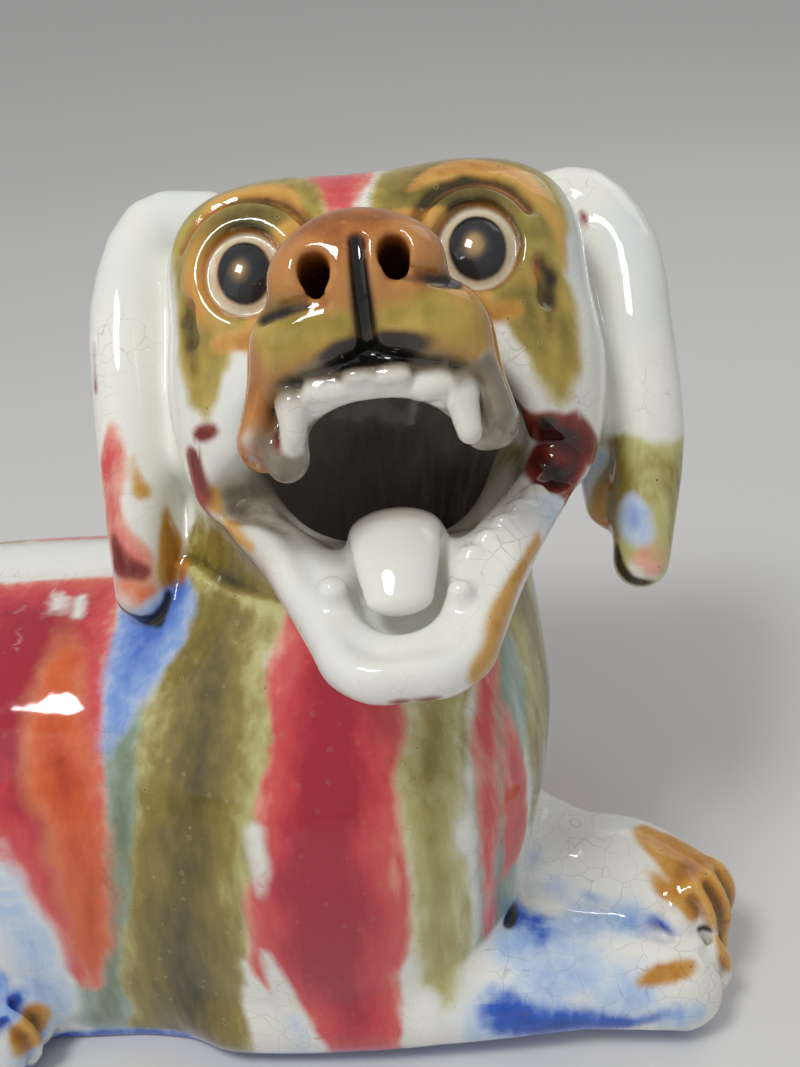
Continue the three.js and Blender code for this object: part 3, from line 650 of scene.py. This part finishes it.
pawStrokes = (
    ("cobalt", 1, ((64, -59, 16, 6), (72, -60.5, 13, 7), (84, -60.5, 11, 5.6), (94, -60, 12, 3),
                   (104, -60, 16, 1))),
    ("cobalt", 1, ((70, -42, 29, 3.4), (75, -44, 27, 3.6), (74, -48, 26, 2.2), (71, -54, 24, 1))),
    ("cobalt", 1, ((86, -39, 31, 0.6), (97, -45, 29, 1.2), (106, -46, 27, 1.6))),
    ("honey", 1, ((96, -57.5, 22, 1.4), (102, -56, 23.5, 2.6), (108, -54, 23, 2))),
    ("honey", 1, ((103, -29, 39, 4.5), (111, -35, 36, 7.5), (118, -40, 28, 7.5), (121, -38, 18, 6))),
    ("honey", 1, ((101, -39, 38, 2), (105, -42, 35, 3), (110, -45, 31, 3))),
    ("honey", 1, ((117, -47, 23, 2.4), (120, -51, 18, 3.4), (118, -56, 12, 2.2))),
    ("enamel", 1, ((102, -44.5, 33, 2.2), (105, -46.5, 30, 3.2), (107, -47, 27, 3))),
    ("blood", 1, ((97, -44.5, 29.5, 0.9), (100, -46, 28, 1))),
    ("black", 1, ((108, -46, 26.5, 0.5), (113, -46, 26, 0.9), (120, -44, 24, 1.2))),
)


def brushLegs():
    daub((
        ("bare", 1, ((60, -44, 14, 17), (84, -44, 14, 17), (*body["rightTip"], 18))),
        ("bare", 1, ((80, -22, 30, 18), (*body["leftTip"], 17))),
    ))
    daub(pawStrokes)
    for x, y, z, radius in pawWash:
        brush("sky", egg([x, y, z], [radius * 1.5, radius, radius]))
    brush("honey", egg([75, -61, 9], [5, 4, 3]))
    brush("blood", egg([80, -38.5, 37], [1.8, 3, 1]))
    # painted shadow: black in the gap between the legs
    brush("black", egg([67, -42, 29], [3, 4, 2.6]))  # in the gap above the near leg
    for side in sides:  # the hind paws
        y = side * 57
        daub([("bare", 1, ((-86, y, 13, 16), (-58, y, 13, 16)))])
        brush("violet", egg([-66, y, 27], [16, 12, 9]))
        brush("cobalt", egg([-52, y, 23], [5, 12, 3]))
        brush("honey", egg([-47, y + side * 3, 17], [5, 8, 5]))
        brush("bare", egg([-45, y - side * 3, 18], [5, 2.2, 5]))
        brush("cobalt", egg([-70, y + side * 6, -2], [28, 14, 7], 3))


# The face. The head's own frame again: x across, y up and z out.

faceStrokes = (
    ("red", 1.5, ((-4.5, 34, 12, 7), (-4.5, 26, 26, 8), (-5, 18, 30, 4.2), (-5, 8, 34, 3))),  # forehead
    ("mask", 2, ((-32.5, -1, 26, 8.5), (-34, -11, 26, 7), (-35.2, -18, 25, 4.4), (-35, -24, 24, 1.2))),
    ("mask", 2, ((31, -6, 26, 8.5), (32, -13, 26, 6.6), (32.8, -19, 25, 5.2), (33.6, -25, 22, 3.4),
                 (34, -29, 22, 1))),
    # darker olive at the edges of the cheeks: olive glaze with painted shade
    ("sage", 1, ((-35.5, 0, 28, 2.4), (-37, -10, 26, 3.4), (-36, -18, 25, 2))),
    ("sage", 1, ((33, -4, 29, 3), (36, -12, 27, 4.6), (36, -20, 26, 3.4))),
    ("sage", 1, ((-5.3, -12.5, 68, 0.8), (-7.3, -15, 67, 1.4))),
    ("sage", 1, ((9, 0, 63, 1.4), (13, -5, 62, 2), (14, -11, 60, 1.2))),
    ("honey", 1, ((-36, 12, 26, 2.4), (-28, 22.5, 29, 3.2), (-18, 22, 30, 3), (-13, 14, 30, 1.6))),
    ("honey", 1, ((9, 17, 30, 1.6), (20, 23.5, 29, 3.4), (31, 18, 28, 3), (36, 8, 26, 2.4),
                  (37, -1, 25, 1.5))),
    ("honey", 1, ((-10, 10, 33, 2.6), (-9, 2, 36, 2.4))),
    ("honey", 1, ((6, 10, 33, 2.6), (8, 3, 36, 2.6))),
    ("rust", 1, ((-20, -23, 60, 3), (-22.5, -28, 56, 4.5), (-23.5, -34, 50, 5), (-24, -38, 42, 4.5))),
    ("rust", 1, ((21, -22, 58, 3), (23.5, -27, 50, 4.4), (24, -32, 44, 4))),
    ("black", 3, ((-0.5, -9, 69, 1.2), (-0.5, -17, 68, 1.8), (-0.6, -25, 67, 2.2))),  # groove
    ("black", 3, ((-9.5, -25.4, 61.195, 0.6), (-5, -25.6, 62.5, 2.2), (0, -25, 63, 2.8),
                  (5, -25.2, 62.5, 2.2), (11.5, -24.6, 60.355, 0.8))),  # upper lip
    ("blood", 1, ((36, -29, 20, 2), (34, -34, 22, 3), (29, -37, 24, 2.5))),
)


def brushFace():
    daub(faceStrokes, head)
    for x, y, half in ((-24.5, 8.5, 16.5), (19.5, 9, 20)):
        brush("mask", egg([x, y, 24], [half, 20, 26], 2.8), head)
    brush("honey", egg([-1, -8, 50], [26, 22.5, 27], 3.4), head)  # muzzle
    brush("rust", egg([nose["middle"], -8, 62], [15.5, 11.5, 13], 2.4), head)
    brush("blood", egg([-36, -25.5, 24], [3, 1.8, 6]), head)
    for side in sides:
        x, low = nose["middle"], -16.5 + side * 1.3
        daub((
            ("sage", 2, [(side * across - 0.5, y, z, half) for across, y, z, half in (
                (4, -20.5, 65, 3), (11, -21, 64, 4.2), (18, -22, 59, 3.4))]),
            ("shade", 2, ((side * 4 - 0.5, -25.2, 62, 0.8), (side * 10, -25.8, 61, 0.8),
                          (side * 16, -27.5, 57, 0.9), (side * 19.5, -33, 50, 1))),
            ("black", 2, [(x + side * across, low, z, half) for across, z, half in (
                (8, 66, 0.5), (12, 64, 0.9), (16, 60, 1.3))]),  # under the wing of the nose
        ), head)


def aroundEye(side, line):  # through place outward from the eye's middle, height, depth and half width
    x = skull["faceMiddle"] + side * eye["spread"]
    return [(x + side * out, y, z, half) for out, y, z, half in line]


def brushEyes():
    height, radius = eye["height"], eye["radius"]
    for side in sides:
        x, pupil = skull["faceMiddle"] + side * eye["spread"], eye["pupil"][side]
        brush("lid", ring([x, height, 27.8], radius + 1, 3, 1.1), head)
        brush("ball", egg([x, height, 27], [radius - 0.4, radius * 1.1 - 0.4, 7]), head)
        brush("pupil", egg([pupil, height - 0.2, 33], [5.7, 6.8, 8]), head)
        brush("spot", egg([pupil - 0.8, height, 33], [2.2, 2.6, 8]), head)
        reach = radius + 5.3 - side * 1.3
        brow = [(reach * math.cos(math.radians(turn)), height + reach * 1.08 * math.sin(math.radians(turn)),
                 30, 0.3 - abs(turn - 90) / 140) for turn in range(30, 156, 9)]
        daub((
            ("black", 8, aroundEye(side, brow)),
            ("shade", 5, aroundEye(side, ((12, 0, 29, 0.8), (13.8, -2.5, 28, 1.8), (13, -8, 28, 1.6),
                                          (12, -14, 28, 0.8)))),
            ("black", 5, aroundEye(side, ((12.6, -1, 29, 0.3), (14, -3, 28, 0.8)))),
            ("honey", 3, aroundEye(side, ((-11, -6, 29, 2), (-4, -10.6, 30, 2.6), (6, -9.6, 30, 2)))),
        ), head)


earStrokes = (
    ("red", 1, ((-59.5, -17, 5, 1.6), (-61.2, -24, 4.5, 3.4), (-62, -33, 3, 4), (-62, -40, 1, 4.6),
                (-59, -46, 0, 5))),
    ("violet", 1, ((-62, -42, 0, 1.4), (-62, -46, -2, 2.6))),
    ("blood", 1, ((-62.5, -41, 0, 1.6), (-61, -46, -1, 3), (-57, -48, -1, 2))),
    ("orange", 1, ((-61, -51, -3, 4.5), (-57.5, -53, -3, 5))),
    ("black", 1, ((-63, -54, -7, 1.4), (-60, -58, -8, 2), (-56, -58, -8, 1.8), (-53, -53, -7, 1.2))),
    ("honey", 1, ((-52.5, -36, -3, 1.8), (-51, -42, -5, 3.6), (-52, -48, -6, 3.4))),
    ("honey", 1, ((-56, -24, 4.5, 1.2), (-55, -31, 3, 1.8))),
    ("blood", 1, ((-62.5, 2, 4, 0.5), (-63, -8, 4, 0.9))),
    ("blood", 1, ((46, 20, 3, 0.6), (45.5, 8, 8, 0.8), (45, -4, 12.5, 0.8), (44.6, -12, 15, 0.4))),
    ("blood", 1, ((50.5, -3, 8, 0.4), (51.5, -14, 8, 0.7), (51, -26, 7, 0.5))),
    ("violet", 1, ((47.5, -44, 0, 1.4), (49.5, -48, -1, 2.8), (51, -51, -2, 2))),
    ("red", 1, ((58.5, -40, -2, 1.8), (58.5, -47, -3, 2.2), (57, -52, -3, 2.6))),
    ("red", 1, ((50.5, -53, -2, 3.6), (54, -56, -3, 4), (56, -51, -3, 2.6))),
    ("black", 1, ((45, -53, -6, 1.6), (47, -60, -6, 1.8), (52, -62, -6, 1.4))),
    ("honey", 1, ((44.6, -40, -10, 2.4), (44.6, -46.5, -14, 3.6))),
    ("red", 1, ((49, -20, 4.5, 0.7), (50, -28, 4, 1.2), (49.5, -36, 2, 0.7))),
)


def brushEars():
    daub(earStrokes, head)


jawStrokes = (
    # painted shade, tinted grey-brown, on the inner walls of the jaw
    ("murk", 1, ((-36, -6, -5, 8), (-31, -8, 8, 9.5), (-25, -8, 20, 9), (-18, -8, 31, 6))),
    ("murk", 1, ((30, -8, 0, 7), (26, -9, 12, 5), (21, -9, 24, 2))),
    ("honey", 1, ((26.5, -0.5, 24.7, 2), (20.7, 0, 35.2, 2.6), (16.5, -0.6, 44, 3.2), (12.8, -2, 51, 3.6))),
    ("honey", 1, ((-37.8, -1.2, 3.5, 2.2), (-34.3, -3, 9, 2.2), (-28.2, 0.3, 19.6, 1.4))),
    ("honey", 1, ((-2, 0, 53, 0.5), (5, 0, 52.5, 0.8), (12, 0, 50, 0.6))),
    ("blood", 1, ((-39.7, 6, -0.6, 2.6), (-39.6, 0, 2.5, 2.4), (-37.9, -7.7, 3.9, 1.8), (-35, -8, 12, 1))),
    ("blood", 1, ((39, 0, 0, 1.6), (36.8, -2.6, 6, 1.5), (33, -3, 12, 1))),
    ("sky", 1, ((33, -1, 11, 2.4), (29, -1, 18, 2.8))),
)

lipStrokes = (
    ("clear", 1, ((-19.5, -31, 54, 3), (-17.5, -43, 52, 5.6))),
    ("clear", 1, ((18.5, -28.5, 56, 3.4), (20.5, -34, 55, 4.6), (21.3, -44, 48, 5.6))),
    ("enamel", 1, ((-14.2, -32.5, 56, 3.3), (-14.7, -37, 55, 2.8))),
    ("enamel", 1, ((14.2, -32.5, 56, 3.3), (14.7, -39.5, 55, 2.8))),
    ("blood", 1, ((26, -27, 16, 4), (31, -31, 20, 4.6), (36, -33, 18, 4.6), (39.6, -35, 15, 3.4))),
    ("black", 1, ((31, -31, 22, 2), (27, -33, 26, 2.4))),
)


def brushMouth():
    cavity = egg([0, -4, -4], [h - skull["wall"] + 2 for h in skull["half"]], 2.4)
    for shape in (cavity, egg([0, -31, 18], [28, 20, 26], 2.4), egg([0, -38, 23], [39, 8, 16], 2.6),
                  egg([0, -37, 42], [16, 12, 21], 2.4)):
        brush("inside", shape, head)
    brush("inside", bar([[44, 6, 140, 28], [36, 0, 80, 26]]))
    # painted shade: a near-black coat over the deep inside of the head and down the throat
    brush("throat", behind(cavity, 4), head)
    brush("throat", behind(bar([[-1, -17, -8, 28], [-8, -66, -43, 26]]), 4), head)
    gum = [(19.5 * s - 0.3, -28 - 7 * abs(s) ** 3, 43 + 16 * c, 4.8) for s, c in halfTurn()]
    daub([("clear", 1.4, gum)], head)
    for x, y, half, thick in frontTeeth:
        spot = [x, y - 2.2, 43 + 17 * math.sqrt(1 - (x / 17.5) ** 2)]
        brush("enamel", egg(spot, [half + 0.4, thick + 0.9, 3.6], 3), head)
    daub(lipStrokes, head)
    daub(jawStrokes, jaw)
    brush("blood", egg([-17.6, -36.5, 54], [1, 2, 2]), head)
    brush("blood", egg([32, -1, 6], [6.4, 5.4, 7.4]), jaw)  # pooled in the corner
    brush("rust", egg([30.5, 1, 9], [2.6, 3, 3.4]), jaw)
    for x in (-2.5, 1.5, 4):
        brush("blood", egg([x, -4, 55.5], [1.5, 1.2, 2]), jaw)


# First to last: tones from thin to thick, millimetres of ragged edge, soft edge and depth, and the
# share of pinholes.
glazes = {
    "celadon": {"tones": ("#cbdad4", "#a2b6ac", "#84957f", "#65735a"),
                "ragged": 1.8, "soft": 1.6, "depth": 6},
    "red": {"tones": ("#ecae98", "#dc5c5a", "#cc404a", "#aa2838"),
            "ragged": 1.6, "soft": 1.2, "depth": 7, "pores": 0.35},
    "orange": {"tones": ("#e08a62", "#de6a3e", "#cc522c", "#a03822"),
               "ragged": 2, "soft": 3, "depth": 5},
    "olive": {"tones": ("#c6c182", "#92803e", "#6e602c", "#423a1d"),
              "ragged": 1.8, "soft": 1.3, "depth": 11, "pores": 1},
    "mask": {"tones": ("#b8a654", "#98843c", "#73632c", "#463b19"),
             "ragged": 1.4, "soft": 1.3, "depth": 8, "pores": 1},
    "moss": {"tones": ("#dad8ae", "#bcb478", "#9a8c48", "#706632"),
             "ragged": 1.8, "soft": 1.6, "depth": 6, "pores": 0.6},
    "bare": {"tones": ("#e2e3dc", "#ecebe2", "#f1f1e9", "#f3f3ed"),
             "ragged": 1.4, "soft": 1.4, "depth": 3},
    "sky": {"tones": ("#e0e8ef", "#c2d6ee", "#9cbce8", "#7ea4dc"),
            "ragged": 2, "soft": 3, "depth": 7},
    "violet": {"tones": ("#c4d2e8", "#84a4de", "#567cce", "#3e5eb4"),
               "ragged": 2, "soft": 1.6, "depth": 7},
    "inside": {"tones": ("#e0dcd0", "#e6e3d8", "#eae8de", "#eeece4"),
               "ragged": 0.6, "soft": 1.2, "depth": 4},
    # painted shade: near-black deep in the hollow head and the throat
    "throat": {"tones": ("#b4ac9c", "#6a6256", "#2c2823", "#151311"),
               "ragged": 1, "soft": 6, "depth": 9},
    # painted shade, tinted grey-brown, on the inner walls of the jaw
    "murk": {"tones": ("#c6beae", "#968b79", "#665c4e", "#463e34"),
             "ragged": 1.2, "soft": 3.2, "depth": 9},
    "honey": {"tones": ("#d6a452", "#c08232", "#8e5e20", "#4c3410"),
              "ragged": 1, "soft": 1.1, "depth": 8, "pores": 0.8},
    "sage": {"tones": ("#bfa350", "#a08a3c", "#74622a", "#3c3418"),
             "ragged": 0.8, "soft": 2.6, "depth": 5},
    "lid": {"tones": ("#d89648", "#d27f30", "#ae5f20", "#6c3810"),
            "ragged": 0.4, "soft": 0.9, "depth": 3},
    "ball": {"tones": ("#d09a6c", "#dccaa8", "#e0d6bc", "#e4dec8"),
             "ragged": 0.2, "soft": 0.8, "depth": 3},
    "clear": {"tones": ("#968c7a", "#8a7f6e", "#7b7060", "#685e50"),
              "ragged": 0.3, "soft": 1.1, "depth": 3},
    "enamel": {"tones": ("#dedace", "#ebe8de", "#f0eee6", "#f2f1ea"),
               "ragged": 0.3, "soft": 0.8, "depth": 2},
    "cobalt": {"tones": ("#9cbae8", "#2f62c8", "#15409e", "#081c58"),
               "ragged": 1.2, "soft": 1.8, "depth": 6},
    "rust": {"tones": ("#bf8348", "#a8662f", "#7a441c", "#482610"),
             "ragged": 0.9, "soft": 1.8, "depth": 8, "pores": 0.6},
    "shade": {"tones": ("#8c7230", "#5c4c1e", "#3a3116", "#211d0f"),
              "ragged": 0.6, "soft": 1.4, "depth": 3},
    "blood": {"tones": ("#984840", "#742822", "#4e1814", "#280c0a"),
              "ragged": 0.4, "soft": 0.9, "depth": 3},
    "black": {"tones": ("#3c342c", "#221e1a", "#161412", "#0c0b0b"),
              "ragged": 0.2, "soft": 0.7, "depth": 2},
    "pupil": {"tones": ("#242426", "#2e2f32", "#45474b", "#3a3c40"),
              "ragged": 0.3, "soft": 0.5, "depth": 4},
    "spot": {"tones": ("#7c6648", "#a88c64", "#bc9e72", "#bc9e72"),
             "ragged": 0.4, "soft": 0.9, "depth": 1.5},
}
surface = {
    "white": ("#dde5e6", "#ebebe2", "#f1f0e7", "#e6e8d4"),
    "farthest": 40,  # mm from a stroke that are told apart
    "bays": 11,  # mm between the large bays of a ragged edge
    "clouds": 17,  # mm of the patches where a glaze lies thicker
    "foot": 55,  # mm above the ground below which it does so everywhere
    "pool": ((1.2, 0.9), (3, 2.4)),  # mm across hollows that fill, and how much
    "mottle": 2.8,  # mm of the fine mottling and of the streaks, which run down
    "streaks": 3,
    "run": 0.22,
    "waves": 6,  # mm of the waves in the skin, and their depth
    "waveDepth": 0.034,
    "coatDepth": 0.06,  # a coat's thickness over the one below
    "craze": 5.2,  # mm between the lines
    "crazeWidth": 0.11,
    "crazeColour": "#6e5a44",
    "crazeStrength": 0.34,
    "pinholes": 3.1,  # mm apart
    "pinholeColour": "#2a1e12",
    "rimColour": "#d9c795",
    "roughness": 0.07,
    "density": 1.55,  # index of refraction
}


def waves(points, size):  # smooth noise from -1 to 1, worked out for points
    lattice = np.random.default_rng(4).uniform(-1, 1, (32, 32, 32)).astype(np.float32)
    total = 0
    for scale, share in ((size, 0.8), (size / 2.1, 0.4)):
        spot = points / scale
        base = np.floor(spot).astype(int)
        step = spot - base
        step = step * step * (3 - 2 * step)
        for corner in corners:
            weight = np.prod(np.where(corner, step, 1 - step), 1)
            total = total + share * weight * lattice[tuple(((base + corner) % 32).T)]
    return total


def coatAttributes(made, clay):
    points = pointsOf(made)
    world = list(points.T)
    build, pores = np.zeros(len(points)), np.zeros(len(points))
    for n, (colour, glaze) in enumerate(glazes.items()):
        nearest = np.full(len(points), surface["farthest"], np.float32)
        for shape, place in coats[colour]:
            nearest = np.minimum(nearest, shape[2](*moved(world, place)))
        nearest = np.maximum(nearest, -surface["farthest"])
        nearest = nearest + 1.2 * glaze["ragged"] * waves(points + 90 * n, surface["bays"])
        keep(made, colour, nearest)
        share = np.clip(0.5 - nearest / 2 / glaze["soft"], 0, 1)
        build = build * (1 - share * 0.6) + share
        pores = pores * (1 - share) + share * glaze.get("pores", 0)
    keep(made, "build", build)
    keep(made, "pores", pores)
    pool = 0
    for reach, share in surface["pool"]:  # glaze gathers in hollows and thins on edges
        steps = np.eye(3) * reach
        around = sum(clay.at(points + s) + clay.at(points - s) for s in steps) - 6 * clay.at(points)
        pool = pool + np.clip(-around / reach**2 * share, -1, 1)
    keep(made, "pool", pool / 2)
    runs = np.clip((surface["foot"] - points[:, 2]) / 150, -0.2, 0.35)
    keep(made, "cloud", waves(points * [1, 1, 0.6], surface["clouds"]) + runs)


def keep(made, name, values):
    made.attributes.new(name, "FLOAT", "POINT").data.foreach_set("value", values.astype(np.float32))


def linear(tone):  # red, green and blue light of a screen colour
    parts = [int(tone[n:n + 2], 16) / 255 for n in (1, 3, 5)]
    return (*[p / 12.92 if p < 0.04 else ((p + 0.055) / 1.055) ** 2.4 for p in parts], 1)


class Wire:  # a socket that sums are written with
    def __init__(self, paint, socket):
        self.paint, self.socket = paint, socket

    def other(self, output):  # another of the same node's sockets
        return Wire(self.paint, self.socket.node.outputs[output])

    def math(self, operation, *values):
        return self.paint.node("Math", {"operation": operation}, dict(enumerate(values)))

    def __add__(self, other):
        return self.math("ADD", self, other)

    def __sub__(self, other):
        return self.math("SUBTRACT", self, other)

    def __rsub__(self, other):
        return self.math("SUBTRACT", other, self)

    def __mul__(self, other):
        return self.math("MULTIPLY", self, other)

    __radd__, __rmul__ = __add__, __mul__

    def step(self, start, end):  # 0 at the start, smoothly to 1 at the end
        ends = {"Value": self, "From Min": start, "From Max": end}
        return self.paint.node("MapRange", {"interpolation_type": "SMOOTHSTEP"}, ends)


class Paint:
    def __init__(self, name):
        self.material = bpy.data.materials.new(name)
        self.material.use_nodes = True
        self.nodes = self.material.node_tree.nodes
        self.shader = self.nodes["Principled BSDF"]

    def node(self, kind, settings, sockets, output=0):  # settings come first, then values or links
        made = self.nodes.new("ShaderNode" + kind)
        for key, value in settings.items():
            if key == "stops":
                ramp = made.color_ramp
                for n, tone in enumerate(value):
                    stop = ramp.elements[n] if n < 2 else ramp.elements.new(1)
                    stop.position, stop.color = n / (len(value) - 1), linear(tone)
            else:
                setattr(made, key, value)
        for key, value in sockets.items():
            self.feed(made.inputs[key], value)
        return Wire(self, made.outputs[output])

    def feed(self, socket, value):
        if isinstance(value, Wire):
            self.material.node_tree.links.new(value.socket, socket)
        else:
            socket.default_value = value

    def noise(self, place, size, detail, stretch=(1, 1, 1)):  # around 0, from -1 to 1
        scale = [s / size for s in stretch]
        spot = self.node("VectorMath", {"operation": "MULTIPLY"}, {0: place, 1: scale})
        wave = self.node("TexNoise", {}, {"Vector": spot, "Scale": 1, "Detail": detail, "Roughness": 0.55})
        return (wave - 0.5) * 3

    def ramp(self, share, tones):
        return self.node("ValToRGB", {"stops": tones}, {"Fac": share})

    def over(self, colour, top, share):
        return self.node("Mix", {"data_type": "RGBA"}, {0: share, 6: colour, 7: top}, 2)

    def field(self, name):
        return self.node("Attribute", {"attribute_name": name}, {}, 2)


def glazePaint():
    paint = Paint("glaze")
    ground = paint.node("TexCoord", {}, {}, 3)
    place = paint.node("VectorMath", {"operation": "SCALE"}, {0: ground, "Scale": 1000})
    small = paint.noise(place, surface["mottle"], 2, (1, 1, 0.5))
    streak = paint.noise(place, surface["streaks"], 2, (1, 1, surface["run"]))
    pool, cloud = paint.field("pool"), paint.field("cloud")

    colour = paint.ramp(cloud * 0.4 + small * 0.06 + 0.5, surface["white"])
    for name, glaze in glazes.items():
        distance = paint.field(name) + small * (glaze["ragged"] * 0.35)
        share = distance.step(glaze["soft"], -glaze["soft"])
        depth = distance * (-0.5 / glaze["depth"]) + streak * 0.2 + cloud * 0.16 + pool * 0.55
        colour = paint.over(colour, paint.ramp(depth + 0.14, glaze["tones"]), share)

    # Crazing, patchy, with lines that wander
    bent = paint.node("TexNoise", {}, {"Vector": place, "Scale": 0.15, "Detail": 1}, 1)
    bent = paint.node("VectorMath", {"operation": "MULTIPLY_ADD"}, {0: bent, 1: (5, 5, 5), 2: place})
    net = {"Vector": bent, "Scale": 1 / surface["craze"]}
    edge = paint.node("TexVoronoi", {"feature": "DISTANCE_TO_EDGE"}, net) * surface["craze"]
    craze = edge.step(surface["crazeWidth"], 0) * (cloud * 1.3 + small * 0.5).step(-0.6, 0.6)
    colour = paint.over(colour, linear(surface["crazeColour"]), craze * surface["crazeStrength"])

    # Pinholes in the thick coloured glazes, each with a paler rim
    hole = paint.node("TexVoronoi", {}, {"Vector": place, "Scale": 1 / surface["pinholes"]})
    pick = paint.node("SeparateColor", {}, {"Color": hole.other(1)})
    hole = hole * surface["pinholes"] + (1 - pick) * 0.3
    some = paint.field("pores") * pick.step(0.5, 0.6)
    colour = paint.over(colour, linear(surface["rimColour"]), hole.step(0.72, 0.5) * some * 0.22)
    colour = paint.over(colour, linear(surface["pinholeColour"]), hole.step(0.42, 0.28) * some * 0.6)

    height = paint.noise(place, surface["waves"], 1) * surface["waveDepth"]
    height = height + paint.field("build") * surface["coatDepth"]
    bump = paint.node("Bump", {}, {"Height": height, "Distance": 0.001, "Strength": 1})
    paint.feed(paint.shader.inputs["Base Color"], colour)
    paint.feed(paint.shader.inputs["Roughness"], craze * 0.1 + small * 0.015 + surface["roughness"])
    paint.feed(paint.shader.inputs["Normal"], bump)
    paint.feed(paint.shader.inputs["IOR"], surface["density"])
    return paint.material


for paintOn in (brushBody, brushLegs, brushFace, brushEyes, brushEars, brushMouth):
    paintOn()
coatAttributes(dogMesh, clay)
dogMesh.materials.append(glazePaint())
print("glazed in", len(coats), "colours")


# Camera. It stands where the photograph was taken.

camera = {
    "place": (0.058214, -0.227239, 0.253733),  # metres
    "down": 32,  # degrees that it looks down, to the side and leans over
    "swing": 3,
    "roll": -4.5,
    "lens": 38.8,
    "nearest": 0.01,
}


def addCamera():
    down, swing, roll = [math.radians(camera[key]) for key in ("down", "swing", "roll")]
    forward = Vector((-math.sin(swing) * math.cos(down), math.cos(swing) * math.cos(down), -math.sin(down)))
    right = forward.cross(Vector((0, 0, 1))).normalized()
    up = right.cross(forward)
    right, up = right * math.cos(roll) + up * math.sin(roll), up * math.cos(roll) - right * math.sin(roll)
    data = bpy.data.cameras.new("camera")
    data.lens = camera["lens"]
    data.clip_start = camera["nearest"]
    made = bpy.data.objects.new("camera", data)
    facing = Matrix((right, up, -forward)).transposed().to_4x4()
    made.matrix_world = Matrix.Translation(camera["place"]) @ facing
    bpy.context.scene.collection.objects.link(made)
    bpy.context.scene.camera = made


addCamera()


# The studio.

studio = {
    "floor": (0.74, 0.735, 0.725),
    "floorRoughness": 0.6,
    "floorHalf": 3,
    "gap": 0.0004,  # between the floor and the foot
    "sky": 0.4,
    "lights": {  # place, aim, size and power in watts
        "key": ((-0.2, -0.32, 0.85), (0.02, 0, 0.08), 0.2, 3.1),
        "fill": ((-0.9, -0.9, 0.75), (0, 0, 0.06), 1.1, 1.6),
        "back": ((0.5, 0.5, 0.7), (0, 0, 0.1), 0.5, 0.7),
    },
}


def addStudio():
    scene = bpy.context.scene
    scene.view_settings.view_transform = "Standard"
    world = bpy.data.worlds.new("studio")
    world.use_nodes = True
    world.node_tree.nodes["Background"].inputs["Color"].default_value = (1, 1, 1, 1)
    world.node_tree.nodes["Background"].inputs["Strength"].default_value = studio["sky"]
    scene.world = world
    for name, (place, aim, size, power) in studio["lights"].items():
        data = bpy.data.lights.new(name, "AREA")
        data.size, data.energy = size, power
        light = bpy.data.objects.new(name, data)
        light.location = place
        light.rotation_euler = (Vector(aim) - Vector(place)).to_track_quat("-Z", "Y").to_euler()
        scene.collection.objects.link(light)
    made = bpy.data.meshes.new("floor")
    around = ((-1, -1), (1, -1), (1, 1), (-1, 1))
    half = studio["floorHalf"]
    made.from_pydata([(x * half, y * half, -studio["gap"]) for x, y in around], [], [(0, 1, 2, 3)])
    floor = bpy.data.objects.new("floor", made)
    scene.collection.objects.link(floor)
    paint = bpy.data.materials.new("floor")
    paint.use_nodes = True
    shader = paint.node_tree.nodes["Principled BSDF"]
    shader.inputs["Base Color"].default_value = (*studio["floor"], 1)
    shader.inputs["Roughness"].default_value = studio["floorRoughness"]
    made.materials.append(paint)


addStudio()

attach(dog, "root")
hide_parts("dog")
